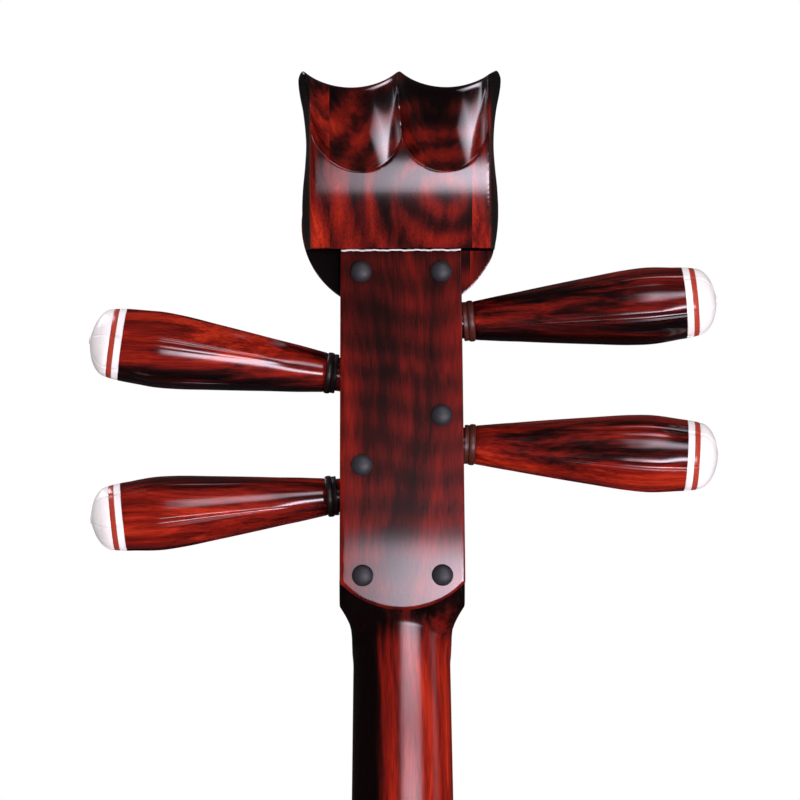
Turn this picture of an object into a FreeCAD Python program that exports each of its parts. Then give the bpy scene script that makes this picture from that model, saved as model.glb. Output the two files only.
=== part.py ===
import FreeCAD, Part
import math
import os

# A zhongruan, a four-stringed round lute, built as its maker builds it, in millimetres.
# Origin: middle of the round back, on its flat outer face. Z runs up the neck to the head.
# Y points out of the back, so the soundboard, the fingerboard and the strings lie towards -Y.

# Soundbox
body_radius = 210.0
box_depth = 60.0
board_t = 4.0
rib_t = 4.0
binding_w = 3.0
lining_w = 8.0
lining_h = 10.0
block_half_w = 32.0
block_length = 34.0
brace_w = 9.0
brace_h = 8.0
brace_places = (125.0, 20.0, -150.0)
post_radius = 4.5
post_x = 42.0
post_z = -72.0
sound_hole_radius = 20.0
sound_hole_x = 98.0
sound_hole_z = 48.0
rosette_w = 4.0
rosette_proud = 0.8

# Neck and fingerboard
scale_length = 690.0
bridge_z = -100.0
neck_half_w_top = 15.7
neck_half_w_body = 22.2
neck_depth = 17.0
neck_side = 3.0
neck_swell = 4.0
neck_knots = 12
heel_depth = 26.0
heel_reach = 34.0
tenon_half_w = 11.0
tenon_length = 18.0
fingerboard_t = 8.0
fingerboard_past_last_fret = 6.0
fret_count = 24
fret_crown = 1.1
fret_tang_w = 0.6
fret_tang_depth = 2.0
fret_inset = 0.4
marker_radius = 2.5
marker_t = 1.2
marker_frets = (3, 5, 7, 9, 12, 15, 17, 19)
nut_t = 5.0
nut_over_board = 1.3

# Pegbox and its cover
pegbox_past_nut = 5.0
pegbox_length = 115.2
pegbox_foot_half = 20.4
pegbox_top_half = 19.5
pegbox_depth = 26.0
pegbox_front_step = 2.0
shoulder_length = 16.0
shoulder_bend = 0.31
slot_half_w = 10.0
slot_foot_gap = 6.0
slot_top_gap = 14.5
cover_t = 4.0
cover_foot_rise = 9.0
cover_past_foot = 1.4
cover_edge = 0.8
screw_x = 12.9
screw_radius = 1.3
screw_length = 12.0
screw_head_radius = 2.7
screw_head_h = 1.8
screw_from_ledge = 7.2
screw_from_foot = 9.9
screw_heights = (61.6, 45.6)
cap_radius = 3.45
cap_rim = 0.6
cap_h = 2.1

# Head
head_height = 58.2
head_back_rise = 11.5
head_roll = 6.5
head_wing_depth = 13.0
head_wing_drop = 14.6
head_tip_half = 31.3
head_tip_flare = 1.5
head_waist_half = 30.5
head_hip_half = 31.9
head_arch = 4.7
head_joint_half = 22.9
head_side_lean = 2.9
head_shoulder_flare = 1.2
scoop_radius = 14.7
scoop_gap = 0.5
scoop_lean = 41.8
scoop_foot = 34.0
face_t = 4.0
inlay_t = 1.0
inlay_radius = 8.0

# Pegs: side of the head, height of the axis over the pegbox foot, outward rise in degrees
pegs = {
    "peg_a": (1, 37.4, -5.4),
    "peg_b": (-1, 53.1, -3.2),
    "peg_c": (1, 72.1, 8.1),
    "peg_d": (-1, 90.3, 4.6),
}
peg_fit = 0.07
shank_radius = 5.5
shank_taper = 0.025
shank_back_gap = 0.6
collar_clear = 0.35
stub_wall = 0.6
stub_w = 1.3
bead_wall = 1.25
bead_w = 2.2
handle_length = 65.7
handle_radii = ((0.0, 6.2), (0.33, 9.1), (0.55, 10.8), (0.73, 12.1), (0.82, 12.4), (1.0, 11.4))
lobe_count = 6
groove_radius = 1.9
groove_depth = 0.8
groove_start = 0.24
groove_run = 0.35
bone_ring_w = 2.3
red_ring_w = 1.7
ring_step = 0.3
cap_length = 7.4
tip_radius = 1.7
tip_h = 0.9

# Bridge and strings
bridge_half_w = 56.0
bridge_waist_half = 30.0
bridge_h = 5.0
bridge_length = 28.0
tie_block_h = 9.5
tie_block_length = 12.0
saddle_t = 3.0
saddle_half_w = 27.0
saddle_top = 13.6
saddle_socket = 2.5
tie_gap = 6.0
tie_hole_rise = 2.2
string_gap_nut = 7.4
string_gap_bridge = 11.5
string_diameters = {"peg_a": 1.2, "peg_b": 0.7, "peg_c": 1.0, "peg_d": 0.8}
string_order = {"peg_a": 1.5, "peg_c": 0.5, "peg_d": -0.5, "peg_b": -1.5}
string_rest = 0.05
string_clear = 0.35
coil_turns = 4
coil_gap = 0.5
coil_seat = 0.02
coil_from_slot = {"peg_a": 1.0, "peg_b": 1.0, "peg_c": 3.2, "peg_d": 3.2}
button_radius = 7.0
button_length = 13.0
button_shank = 3.5

# Places that follow from the sizes
V = FreeCAD.Vector
front_y = -box_depth
board_top_y = front_y - fingerboard_t
nut_z = bridge_z + scale_length
foot_z = nut_z + nut_t + pegbox_past_nut
ledge_z = foot_z + pegbox_length
head_top_z = ledge_z + head_height
pegbox_front_y = front_y - pegbox_front_step
pegbox_back_y = pegbox_front_y + pegbox_depth
cover_y = pegbox_back_y + cover_t
peg_y = (pegbox_front_y + pegbox_back_y) / 2
head_back_y = cover_y + head_back_rise
last_fret_z = nut_z - scale_length * (1 - 2 ** (-fret_count / 12))
board_end_z = last_fret_z - fingerboard_past_last_fret
handle_start = stub_w + bead_w
stub_radius = shank_radius + stub_wall
bead_radius = shank_radius + bead_wall


def line(a, b):
    """Straight edge."""
    return Part.LineSegment(a, b).toShape()


def arc(a, b, c):
    """Arc from a through b to c."""
    return Part.Arc(a, b, c).toShape()


def outline(start, steps):
    """Closed face: a step of one point is a straight run, of two an arc through the first to the second."""
    edges = []
    at = start
    for step in steps:
        edges.append(line(at, step[0]) if len(step) == 1 else arc(at, step[0], step[1]))
        at = step[-1]
    return Part.Face(Part.Wire(edges))


def box(x0, x1, y0, y1, z0, z1):
    """Block between two corners."""
    return Part.makeBox(x1 - x0, y1 - y0, z1 - z0, V(x0, y0, z0))


def disc(radius, y0, y1, x=0.0, z=0.0):
    """Round plate or bar along Y."""
    return Part.makeCylinder(radius, y1 - y0, V(x, y0, z), V(0, 1, 0))


def hoop(outer, inner, y0, y1, x=0.0, z=0.0):
    """Flat ring along Y."""
    return disc(outer, y0, y1, x, z).cut(disc(inner, y0, y1, x, z))


def mirrored(shape):
    """The same shape on the other side of the middle plane."""
    return shape.mirror(V(0, 0, 0), V(1, 0, 0))


def turned(points):
    """Solid turned about X from (x, radius) points joined by straight runs."""
    corners = [V(x, 0, r) for x, r in points]
    edges = [line(a, b) for a, b in zip(corners, corners[1:] + corners[:1])]
    return Part.Face(Part.Wire(edges)).revolve(V(0, 0, 0), V(1, 0, 0), 360)


def tube(wire, diameter):
    """Round bar of one diameter along a path."""
    start = wire.Edges[0].valueAt(wire.Edges[0].FirstParameter)
    heading = wire.Edges[0].tangentAt(wire.Edges[0].FirstParameter)
    ring = Part.Wire(Part.makeCircle(diameter / 2, start, heading))
    return wire.makePipeShell([ring], True, False)


def route(points, radii):
    """Path of straight runs joined by tangent arcs, one radius for each inner point."""
    edges = []
    at = points[0]
    for before, corner, after, radius in zip(points, points[1:], points[2:], radii):
        into = (corner - before).normalize()
        out = (after - corner).normalize()
        turn = into.getAngle(out)
        reach = radius * math.tan(turn / 2)
        middle = (out - into).normalize() * (radius / math.cos(turn / 2) - radius)
        edges.append(line(at, corner - into * reach))
        edges.append(arc(corner - into * reach, corner + middle, corner + out * reach))
        at = corner + out * reach
    edges.append(line(at, points[-1]))
    return Part.Wire(edges)


def save(name, shape):
    """Write one node, as its solids."""
    solids = [s for s in shape.Solids if s.Volume > 0.5]
    if not solids or not all(s.isValid() for s in solids):
        raise ValueError("bad solid in " + name)
    whole = solids[0] if len(solids) == 1 else Part.makeCompound(solids)
    whole.exportStep("parts/" + name + ".step")
    print(name, len(solids), "solids", round(sum(s.Volume for s in solids)), "mm3")


def neck_half(z):
    """Half width of the neck and of the fingerboard at a height."""
    slope = (neck_half_w_body - neck_half_w_top) / (nut_z - body_radius)
    return neck_half_w_top + (nut_z - z) * slope


def neck_section(z):
    """D-shaped section of the neck, which deepens into the heel near the body."""
    along = (z - body_radius) / heel_reach
    heel = heel_depth * math.exp(-along * along) if along > 0 else heel_depth
    depth = neck_depth + neck_swell * (nut_z - z) / (nut_z - body_radius) + heel
    side = neck_side + heel * 0.72
    half = neck_half(z)
    a = V(-half, front_y, z)
    b = V(half, front_y, z)
    knots = [math.pi * i / neck_knots for i in range(neck_knots + 1)]
    sagitta = depth - side
    round_back = [V(half * math.cos(t), front_y + side + sagitta * math.sin(t), z) for t in knots]
    back = Part.BSplineCurve()
    back.interpolate(round_back)
    return Part.Wire([line(a, b), line(b, round_back[0]), back.toShape(), line(round_back[-1], a)])


def pegbox_half(z):
    """Half width of the pegbox at a height over its foot."""
    return pegbox_foot_half + (pegbox_top_half - pegbox_foot_half) * (z - foot_z) / pegbox_length


def pegbox_block():
    """Pegbox with the shoulders that run into the neck, before the slot is milled."""
    low = foot_z - shoulder_length
    start = V(-pegbox_foot_half, 0, foot_z)
    half = neck_half(low)
    bend = half + (pegbox_foot_half - half) * 0.36
    bend_z = foot_z - shoulder_length * shoulder_bend
    steps = [
        [V(-pegbox_top_half, 0, ledge_z)],
        [V(pegbox_top_half, 0, ledge_z)],
        [V(pegbox_foot_half, 0, foot_z)],
        [V(bend, 0, bend_z), V(half, 0, low)],
        [V(-half, 0, low)],
        [V(-bend, 0, bend_z), start],
    ]
    plan = outline(start, steps)
    plan.translate(V(0, pegbox_front_y, 0))
    block = plan.extrude(V(0, pegbox_depth, 0))
    throat = front_y + neck_side
    crown = foot_z - cover_t / 2
    half_w = 2 * pegbox_foot_half
    corner = V(-half_w, pegbox_back_y, crown)
    dip = [
        [V(-half_w, pegbox_back_y - 2.0, crown - 8.0), V(-half_w, throat, low)],
        [V(-half_w, pegbox_back_y + 1, low)],
        [V(-half_w, pegbox_back_y + 1, crown)],
        [corner],
    ]
    block = block.cut(outline(corner, dip).extrude(V(2 * half_w, 0, 0)))
    return block.cut(box(-half_w, half_w, pegbox_front_y, front_y, low - 1, nut_z + nut_t))


def peg_place(shape, name):
    """Carry a shape turned about local X, zero at the pegbox wall, to its peg's place and slope."""
    side, height, rise = pegs[name]
    z = foot_z + height
    moved = shape.copy()
    wall = pegbox_half(z) / math.cos(math.radians(rise))
    moved.translate(V(wall, 0, 0))
    moved.rotate(V(0, 0, 0), V(0, 1, 0), -rise)
    if side < 0:
        moved = mirrored(moved)
    moved.translate(V(0, peg_y, z))
    return moved


def peg_offset(name):
    """Distance from the wall to the collar's inner face, so that a sloping collar just clears the wall."""
    return collar_clear + stub_radius * math.tan(math.radians(abs(pegs[name][2])))


def shank_at(x):
    """Radius of the tapered shank at a distance out from the wall."""
    return shank_radius + shank_taper * x


def shank_end(name):
    """Place of the shank's small end, a little inside the far wall."""
    wall = pegbox_half(foot_z + pegs[name][1])
    return -2 * wall / math.cos(math.radians(pegs[name][2])) + shank_back_gap


def handle_profile(start):
    """Swelling outline of the handle as (distance, radius) knots."""
    return [(start + share * handle_length, radius) for share, radius in handle_radii]


def groove_tool(start):
    """Cutter for one lengthwise groove, which sinks in slowly and is deepest at the wide end."""
    path = []
    for share in (groove_start, 0.4, 0.55, 0.7, 0.85, 1.1):
        knots = handle_radii + ((1.2, handle_radii[-1][1] - 1.0),)
        for (s0, r0), (s1, r1) in zip(knots, knots[1:]):
            if s0 <= share <= s1:
                surface = r0 + (r1 - r0) * (share - s0) / (s1 - s0)
        sink = groove_depth * min(1.0, (share - groove_start) / groove_run)
        path.append(V(start + share * handle_length, 0, surface + groove_radius - sink))
    curve = Part.BSplineCurve()
    curve.interpolate(path)
    return tube(Part.Wire(curve.toShape()), 2 * groove_radius)


def peg_handle(name):
    """Handle and tapered shank, turned from one piece of rosewood and grooved into six lobes."""
    offset = peg_offset(name)
    start = offset + handle_start
    knots = handle_profile(start)
    curve = Part.BSplineCurve()
    curve.interpolate([V(x, 0, r) for x, r in knots])
    small = shank_end(name)
    foot = V(start, 0, 0)
    low = V(small, 0, 0)
    end = V(knots[-1][0], 0, 0)
    edges = [
        line(low, V(small, 0, shank_at(small))),
        line(V(small, 0, shank_at(small)), V(start, 0, shank_at(0) - 0.3)),
        line(V(start, 0, shank_at(0) - 0.3), V(start, 0, knots[0][1])),
        curve.toShape(),
        line(V(end.x, 0, knots[-1][1]), end),
        line(end, low),
    ]
    handle = Part.Face(Part.Wire(edges)).revolve(V(0, 0, 0), V(1, 0, 0), 360)
    cutter = groove_tool(start)
    for lobe in range(lobe_count):
        groove = cutter.copy()
        groove.rotate(foot, V(1, 0, 0), 30 + lobe * 360 / lobe_count)
        handle = handle.cut(groove)
    return handle


def peg_collar(name):
    """Turned collar on the shank between the wall and the handle, a stub and a bead."""
    a = peg_offset(name)
    bore = shank_at(0) + 0.02
    profile = [
        (a, bore),
        (a, stub_radius),
        (a + stub_w, stub_radius),
        (a + stub_w + 0.5, bead_radius),
        (a + handle_start - 0.6, bead_radius),
        (a + handle_start, bead_radius - 0.7),
        (a + handle_start, bore),
    ]
    return turned(profile)


def peg_rings(name):
    """Bone ring, red ring and bone end cap, stacked on the handle's wide end."""
    a = peg_offset(name) + handle_start + handle_length
    b = a + bone_ring_w
    c = b + red_ring_w
    r = handle_radii[-1][1]
    bone = turned([(a, 0), (a, r), (b, r - ring_step), (b, 0)])
    red = turned([(b, 0), (b, r - ring_step), (c, r - 2 * ring_step), (c, 0)])
    rim = r - 2 * ring_step
    top = c + cap_length
    start = V(c, 0, 0)
    shoulder = V(c + cap_length * 0.55, 0, rim * 0.84)
    steps = [
        [V(c, 0, rim)],
        [shoulder, V(top, 0, tip_radius)],
        [V(top + tip_h * 0.7, 0, tip_radius * 0.8)],
        [V(top + tip_h, 0, tip_radius * 0.3)],
        [V(top + tip_h, 0, 0)],
        [start],
    ]
    cap = outline(start, steps).revolve(V(0, 0, 0), V(1, 0, 0), 360)
    return bone, red, cap


def coil_place(name):
    """Distance from the wall to the coil's outer end, in the slot beside the peg's own wall."""
    wall = pegbox_half(foot_z + pegs[name][1]) - slot_half_w
    return -wall - coil_from_slot[name]


def helix(name, turn):
    """Point and heading on the coil of a string, in the peg's own frame."""
    wire = string_diameters[name]
    radius = shank_at(coil_place(name)) + wire / 2 + coil_seat
    pitch = wire + coil_gap
    angle = 2 * math.pi * turn
    across = radius * math.cos(angle)
    aside = radius * math.sin(angle)
    point = V(coil_place(name) - wire / 2 - pitch * turn, aside, -across)
    heading = V(-pitch / (2 * math.pi), across, aside).normalize()
    return point, heading


def biarc(p, t, q, u):
    """Two arcs that join two points with their headings."""
    v = q - p
    a = 2 * (t.dot(u) - 1)
    b = -2 * v.dot(t + u)
    c = v.dot(v)
    reach = (-b - math.sqrt(b * b - 4 * a * c)) / (2 * a)
    if reach < 0:
        reach = (-b + math.sqrt(b * b - 4 * a * c)) / (2 * a)
    corner_a = p + t * reach
    corner_b = q - u * reach
    joint = (corner_a + corner_b) * 0.5
    arcs = []
    for start, corner, end in ((p, corner_a, joint), (joint, corner_b, q)):
        chord = (start + end) * 0.5
        turn = (corner - start).getAngle(end - corner)
        rise = (end - start).Length / 2 * math.tan(turn / 4)
        arcs.append(arc(start, chord + (corner - chord).normalize() * rise, end))
    return arcs


def coil(name):
    """String wound on its peg: one unbroken tube, its ends straight for one diameter."""
    wire = string_diameters[name]
    quarters = [helix(name, i / 4) for i in range(4 * coil_turns + 1)]
    first, heading = quarters[0]
    edges = [line(first - heading * wire, first)]
    for (p, t), (q, u) in zip(quarters, quarters[1:]):
        edges += biarc(p, t, q, u)
    last, heading = quarters[-1]
    edges.append(line(last, last + heading * wire))
    fine = [helix(name, i / 36)[0] for i in range(36 * coil_turns + 1)]
    least = min((p - q).Length for i, p in enumerate(fine) for q in fine[i + 18:])
    print(name, "coil: turns", coil_turns, "least gap to itself", round(least - wire, 3))
    return tube(Part.Wire(edges), wire)


def string_path(name):
    """Route of one string: out of the tie block, over the saddle and the nut, and over its peg's coil."""
    wire = string_diameters[name]
    order = string_order[name]
    side, height, rise = pegs[name]
    x_tail = order * string_gap_bridge
    x_nut = order * string_gap_nut
    tie_y = front_y - bridge_h - tie_hole_rise
    tail_z = bridge_z - saddle_t / 2 - tie_gap - tie_block_length
    saddle_y = front_y - saddle_top - wire / 2 - string_rest
    nut_y = board_top_y - nut_over_board - wire / 2 - string_rest
    reach = pegbox_half(foot_z + height) + coil_place(name) - (coil_turns / 2) * (wire + coil_gap)
    x_peg = side * reach
    z_peg = foot_z + height + reach * math.tan(math.radians(rise))
    over = shank_at(coil_place(name)) + coil_seat + wire * 1.5 + string_clear
    points = [
        V(x_tail, tie_y, tail_z - 1.0),
        V(x_tail, tie_y, bridge_z - saddle_t / 2 - tie_gap + 1.0),
        V(x_tail, saddle_y, bridge_z),
        V(x_nut, nut_y, nut_z + nut_t / 2),
        V(x_peg, peg_y - over, z_peg + over),
        V(x_peg, peg_y + 1.0, z_peg + over),
    ]
    return route(points, [2.0, 2.0, 4.0, over * 0.8])


def make_strings():
    """Free lengths of the four strings."""
    return {name: tube(string_path(name), string_diameters[name]) for name in pegs}


def make_neck():
    """Neck, heel, tenon and pegbox, carved from one length of rosewood."""
    heights = [body_radius - 8.0, body_radius + 5.0]
    heights += [body_radius + heel_reach * share for share in (0.47, 0.82, 1.18, 1.6, 2.05, 2.8)]
    heights += [body_radius + (nut_z - body_radius) * share for share in (0.37, 0.55, 0.76, 1.0)]
    shaft = Part.makeLoft([neck_section(z) for z in heights], True, False, False, 3)
    shaft = shaft.cut(disc(body_radius, -box_depth - 1, box_depth))
    neck = shaft.fuse(pegbox_block()).removeSplitter()
    neck = neck.fuse(tenon_block(body_radius - rib_t - tenon_length, body_radius + 1.0))
    low = foot_z + slot_foot_gap
    high = ledge_z - slot_top_gap
    r = slot_half_w * 0.6
    slot = box(-slot_half_w, slot_half_w, pegbox_front_y - 9, pegbox_back_y + 9, low, high)
    upright = [e for e in slot.Edges if abs(e.tangentAt(e.FirstParameter).y) > 0.9]
    neck = neck.cut(slot.makeFillet(r, upright))
    for name in pegs:
        far = shank_end(name) - 5
        hole = turned([(far, 0), (far, shank_at(far) + peg_fit), (4, shank_at(4) + peg_fit), (4, 0)])
        neck = neck.cut(peg_place(hole, name))
    for x, z in screw_places():
        neck = neck.cut(disc(screw_radius, cover_y - screw_length, cover_y, x, z))
    return neck


def screw_places():
    """Middles of the six cover screws: two at each end and one in each wall between its peg holes."""
    ends = (ledge_z - screw_from_ledge, foot_z + screw_from_foot)
    places = [(x, z) for x in (-screw_x, screw_x) for z in ends]
    left, right = screw_heights
    return places + [(-screw_x, foot_z + left), (screw_x, foot_z + right)]


def make_cover():
    """Back cover plate of the pegbox, round at the foot, with countersunk holes."""
    rise = foot_z + cover_foot_rise - cover_past_foot
    half = pegbox_half(rise)
    start = V(-pegbox_top_half, pegbox_back_y, ledge_z)
    steps = [
        [V(pegbox_top_half, pegbox_back_y, ledge_z)],
        [V(half, pegbox_back_y, rise)],
        [V(0, pegbox_back_y, foot_z - cover_past_foot), V(-half, pegbox_back_y, rise)],
        [start],
    ]
    plate = outline(start, steps).extrude(V(0, cover_t, 0))
    back = [e for e in plate.Edges if min(v.Y for v in e.Vertexes) > cover_y - 0.01]
    plate = plate.makeFillet(cover_edge, [e for e in back if e.CenterOfMass.z < ledge_z - 1])
    for x, z in screw_places():
        plate = plate.cut(screw(x, z))
    return plate


def screw(x, z):
    """Countersunk wood screw, its head flush with the cover."""
    shank = disc(screw_radius, cover_y - screw_length, cover_y, x, z)
    seat = V(x, cover_y - screw_head_h, z)
    cone = Part.makeCone(screw_radius, screw_head_radius, screw_head_h, seat, V(0, 1, 0))
    return shank.fuse(cone)


def screw_cap(x, z):
    """Dome cap that hides one screw."""
    rise = cap_h - cap_rim
    ball_radius = (cap_radius ** 2 + rise ** 2) / (2 * rise)
    ball = Part.makeSphere(ball_radius, V(x, cover_y + cap_h - ball_radius, z))
    return disc(cap_radius, cover_y, cover_y + cap_h, x, z).common(ball)


def head_outline(y):
    """Outline of the head: three tips over two hollow arcs, a waist, hips and a curve to the pegbox."""
    top = head_top_z
    hip_z = ledge_z + head_height * 0.23
    waist_z = ledge_z + head_height * 0.58
    flare_z = top - 4.9
    join_z = ledge_z - head_wing_drop
    flare = head_tip_half + head_tip_flare
    start = V(-pegbox_half(join_z), y, join_z)

    def side(sign):
        return {
            "join": V(sign * pegbox_half(join_z), y, join_z),
            "turn": V(sign * (head_hip_half - 2.2), y, ledge_z - 2.8),
            "hip": V(sign * head_hip_half, y, hip_z),
            "waist": V(sign * head_waist_half, y, waist_z),
            "flare": V(sign * flare, y, flare_z),
            "lip": V(sign * (flare - 0.4), y, top - 1.8),
            "tip": V(sign * head_tip_half, y, top),
            "arch": V(sign * head_tip_half / 2, y, top - head_arch),
        }

    a = side(-1)
    b = side(1)
    steps = [
        [a["turn"], a["hip"]],
        [a["waist"], a["flare"]],
        [a["lip"], a["tip"]],
        [a["arch"], V(0, y, top)],
        [b["arch"], b["tip"]],
        [b["lip"], b["flare"]],
        [b["waist"], b["hip"]],
        [b["turn"], b["join"]],
        [start],
    ]
    return outline(start, steps)


def head_body():
    """Whole carved head: outline, rounded back with its ledge, leaning sides and two scoops."""
    body = head_outline(pegbox_front_y).extrude(V(0, head_back_y - pegbox_front_y + 1, 0))
    wide = head_hip_half + 10
    low = ledge_z - head_wing_drop - 1
    wing_y = pegbox_front_y + head_wing_depth
    start = V(-wide, pegbox_front_y, low)
    steps = [
        [V(-wide, pegbox_front_y, head_top_z + 1)],
        [V(-wide, head_back_y - 10.0, head_top_z + 1)],
        [V(-wide, head_back_y, ledge_z + head_height * 0.38), V(-wide, head_back_y - head_roll, ledge_z)],
        [V(-wide, wing_y, ledge_z)],
        [V(-wide, wing_y - 3, low)],
        [start],
    ]
    body = body.common(outline(start, steps).extrude(V(2 * wide, 0, 0)))
    lean_y = pegbox_front_y + (head_back_y - pegbox_front_y) * 0.45
    back_half = head_hip_half - head_side_lean
    corner = V(-wide, pegbox_front_y - 1, low - 1)
    flare = head_hip_half + head_shoulder_flare
    rim_y = head_back_y - 2 * head_roll
    section = [
        [V(wide, pegbox_front_y - 1, low - 1)],
        [V(wide, lean_y, low - 1)],
        [V(flare, lean_y, low - 1)],
        [V(back_half, rim_y, low - 1)],
        [V(back_half, head_back_y + 1, low - 1)],
        [V(-back_half, head_back_y + 1, low - 1)],
        [V(-back_half, rim_y, low - 1)],
        [V(-flare, lean_y, low - 1)],
        [V(-wide, lean_y, low - 1)],
        [corner],
    ]
    body = body.common(outline(corner, section).extrude(V(0, 0, head_height + head_wing_drop + 5)))
    for sign in (-1, 1):
        body = body.cut(scoop(sign))
    return body


def scoop(sign):
    """Round gouge that leans forward as it rises, so that it leaves a U on the rolled back."""
    lean = math.radians(scoop_lean)
    x = sign * (scoop_radius + scoop_gap)
    foot = foot_of_scoop()
    axis = V(0, -math.sin(lean), math.cos(lean))
    away = V(0, math.cos(lean), math.sin(lean))
    at = V(x, foot.y, foot.z) + away * scoop_radius - axis * 30
    return Part.makeCylinder(scoop_radius, 110, at, axis)


def foot_of_scoop():
    """Lowest point of the scoops on the rolled back."""
    return V(0, head_back_y - 0.4, head_top_z - scoop_foot)


def make_head():
    """Head as glued up: a middle block and two cheeks, fitted round the top of the pegbox."""
    body = head_body()
    top = box(-pegbox_foot_half, pegbox_foot_half, pegbox_front_y - 1, cover_y, ledge_z - 40, ledge_z)
    body = body.cut(top)
    middle = box(-head_joint_half, head_joint_half, -100, 0, ledge_z - 40, head_top_z + 5)
    side = box(head_joint_half, 60, -100, 0, ledge_z - 40, head_top_z + 5)
    return body.common(middle), body.common(side), body.common(mirrored(side))


def make_head_face():
    """Thin face plate on the front of the head, its front edge eased."""
    plate = head_outline(pegbox_front_y - face_t).extrude(V(0, face_t, 0))
    front = [e for e in plate.Edges if max(v.Y for v in e.Vertexes) < pegbox_front_y - face_t + 0.01]
    return plate.makeChamfer(0.8, front)


def make_inlay():
    """Plain cloud of three round lobes over a drop, in bone, on the face of the head."""
    y0 = pegbox_front_y - face_t - inlay_t
    y1 = pegbox_front_y - face_t
    z = ledge_z + head_height * 0.42
    lobes = disc(inlay_radius, y0, y1, 0, z + inlay_radius * 0.9)
    for sign in (-1, 1):
        lobes = lobes.fuse(disc(inlay_radius * 0.8, y0, y1, sign * inlay_radius * 1.05, z))
    start = V(-inlay_radius, y0, z)
    drop = outline(start, [
        [V(-inlay_radius * 0.4, y0, z - inlay_radius * 0.95), V(0, y0, z - inlay_radius * 2.2)],
        [V(inlay_radius * 0.4, y0, z - inlay_radius * 0.95), V(inlay_radius, y0, z)],
        [start],
    ]).extrude(V(0, inlay_t, 0))
    return lobes.fuse(drop)


def fret_z(number):
    """Height of a fret, by equal temperament."""
    return nut_z - scale_length * (1 - 2 ** (-number / 12))


def fret(number):
    """One fret: a round crown on a thin tang."""
    z = fret_z(number)
    half = neck_half(z) - fret_inset
    crown = Part.makeCylinder(fret_crown, 2 * half, V(-half, board_top_y, z), V(1, 0, 0))
    crown = crown.cut(box(-half - 1, half + 1, board_top_y, board_top_y + 9, z - 5, z + 5))
    half_w = fret_tang_w / 2
    tang = box(-half, half, board_top_y, board_top_y + fret_tang_depth, z - half_w, z + half_w)
    return crown.fuse(tang)


def marker_places():
    """Position dots midway between frets, two of them at the octave."""
    places = []
    for number in marker_frets:
        z = (fret_z(number) + fret_z(number - 1)) / 2
        spread = (-7.0, 7.0) if number == 12 else (0.0,)
        places += [(x, z) for x in spread]
    return places


def marker(x, z):
    """One round position dot, let in flush."""
    return disc(marker_radius, board_top_y, board_top_y + marker_t, x, z)


def make_fingerboard():
    """Tapered fingerboard with a slot for each fret and a bed for each dot."""
    start = V(-neck_half(nut_z), board_top_y, nut_z)
    steps = [
        [V(neck_half(nut_z), board_top_y, nut_z)],
        [V(neck_half(board_end_z), board_top_y, board_end_z)],
        [V(0, board_top_y, board_end_z - 5.0), V(-neck_half(board_end_z), board_top_y, board_end_z)],
        [start],
    ]
    board = outline(start, steps).extrude(V(0, fingerboard_t, 0))
    for number in range(1, fret_count + 1):
        board = board.cut(fret(number))
    for x, z in marker_places():
        board = board.cut(marker(x, z))
    return board


def make_nut():
    """Bone nut with a groove for each string."""
    top = board_top_y - nut_over_board - 0.3
    half = neck_half(nut_z)
    nut = box(-half, half, top, front_y, nut_z, nut_z + nut_t)
    for name in pegs:
        nut = nut.cut(tube(string_path(name), string_diameters[name] + 2 * string_rest))
    return nut


def make_bridge():
    """Glued bridge with low wings, a slot for the saddle and a tie block with four string holes."""
    z1 = bridge_z + bridge_length * 0.32
    z0 = bridge_z - bridge_length * 0.68
    start = V(-bridge_half_w, front_y, (z0 + z1) / 2)
    steps = [
        [V(-bridge_half_w * 0.8, front_y, z1 - 3.0), V(-bridge_waist_half, front_y, z1)],
        [V(bridge_waist_half, front_y, z1)],
        [V(bridge_half_w * 0.8, front_y, z1 - 3.0), V(bridge_half_w, front_y, (z0 + z1) / 2)],
        [V(bridge_half_w * 0.8, front_y, z0 + 3.0), V(bridge_waist_half, front_y, z0)],
        [V(-bridge_waist_half, front_y, z0)],
        [V(-bridge_half_w * 0.8, front_y, z0 + 3.0), start],
    ]
    base = outline(start, steps).extrude(V(0, -bridge_h, 0))
    rail = [e for e in base.Edges if max(v.Y for v in e.Vertexes) < front_y - bridge_h + 0.01]
    base = base.makeFillet(1.0, rail)
    half = bridge_waist_half
    tie_z = bridge_z - saddle_t / 2 - tie_gap
    tie = box(-half, half, front_y - tie_block_h, front_y, tie_z - tie_block_length, tie_z)
    base = base.fuse(tie).removeSplitter()
    base = base.cut(saddle_block(front_y - bridge_h + saddle_socket))
    for name in pegs:
        x = string_order[name] * string_gap_bridge
        radius = string_diameters[name] / 2 + string_rest
        low = tie_z - 2 * bridge_length
        place = V(x, front_y - bridge_h - tie_hole_rise, low)
        base = base.cut(Part.makeCylinder(radius, tie_z + tie_gap - 2.0 - low, place, V(0, 0, 1)))
    return base


def saddle_block(bottom_y):
    """Bone saddle blank, standing in its slot."""
    z0 = bridge_z - saddle_t / 2
    z1 = bridge_z + saddle_t / 2
    return box(-saddle_half_w, saddle_half_w, front_y - saddle_top - 0.3, bottom_y, z0, z1)


def make_saddle():
    """Bone saddle with a groove for each string."""
    saddle = saddle_block(front_y - bridge_h + saddle_socket)
    for name in pegs:
        saddle = saddle.cut(tube(string_path(name), string_diameters[name] + 2 * string_rest))
    return saddle


def tenon_block(z0, z1):
    """Block as wide and as deep as the tenon, between two heights."""
    y0 = front_y + board_t + lining_h
    return box(-tenon_half_w, tenon_half_w, y0, -board_t - lining_h, z0, z1)


def button_bore():
    """Hole of the end button's shank, through the ribs into the tail block."""
    return Part.makeCylinder(button_shank, 40, V(0, -box_depth / 2, -body_radius - 20), V(0, 0, 1))


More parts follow.
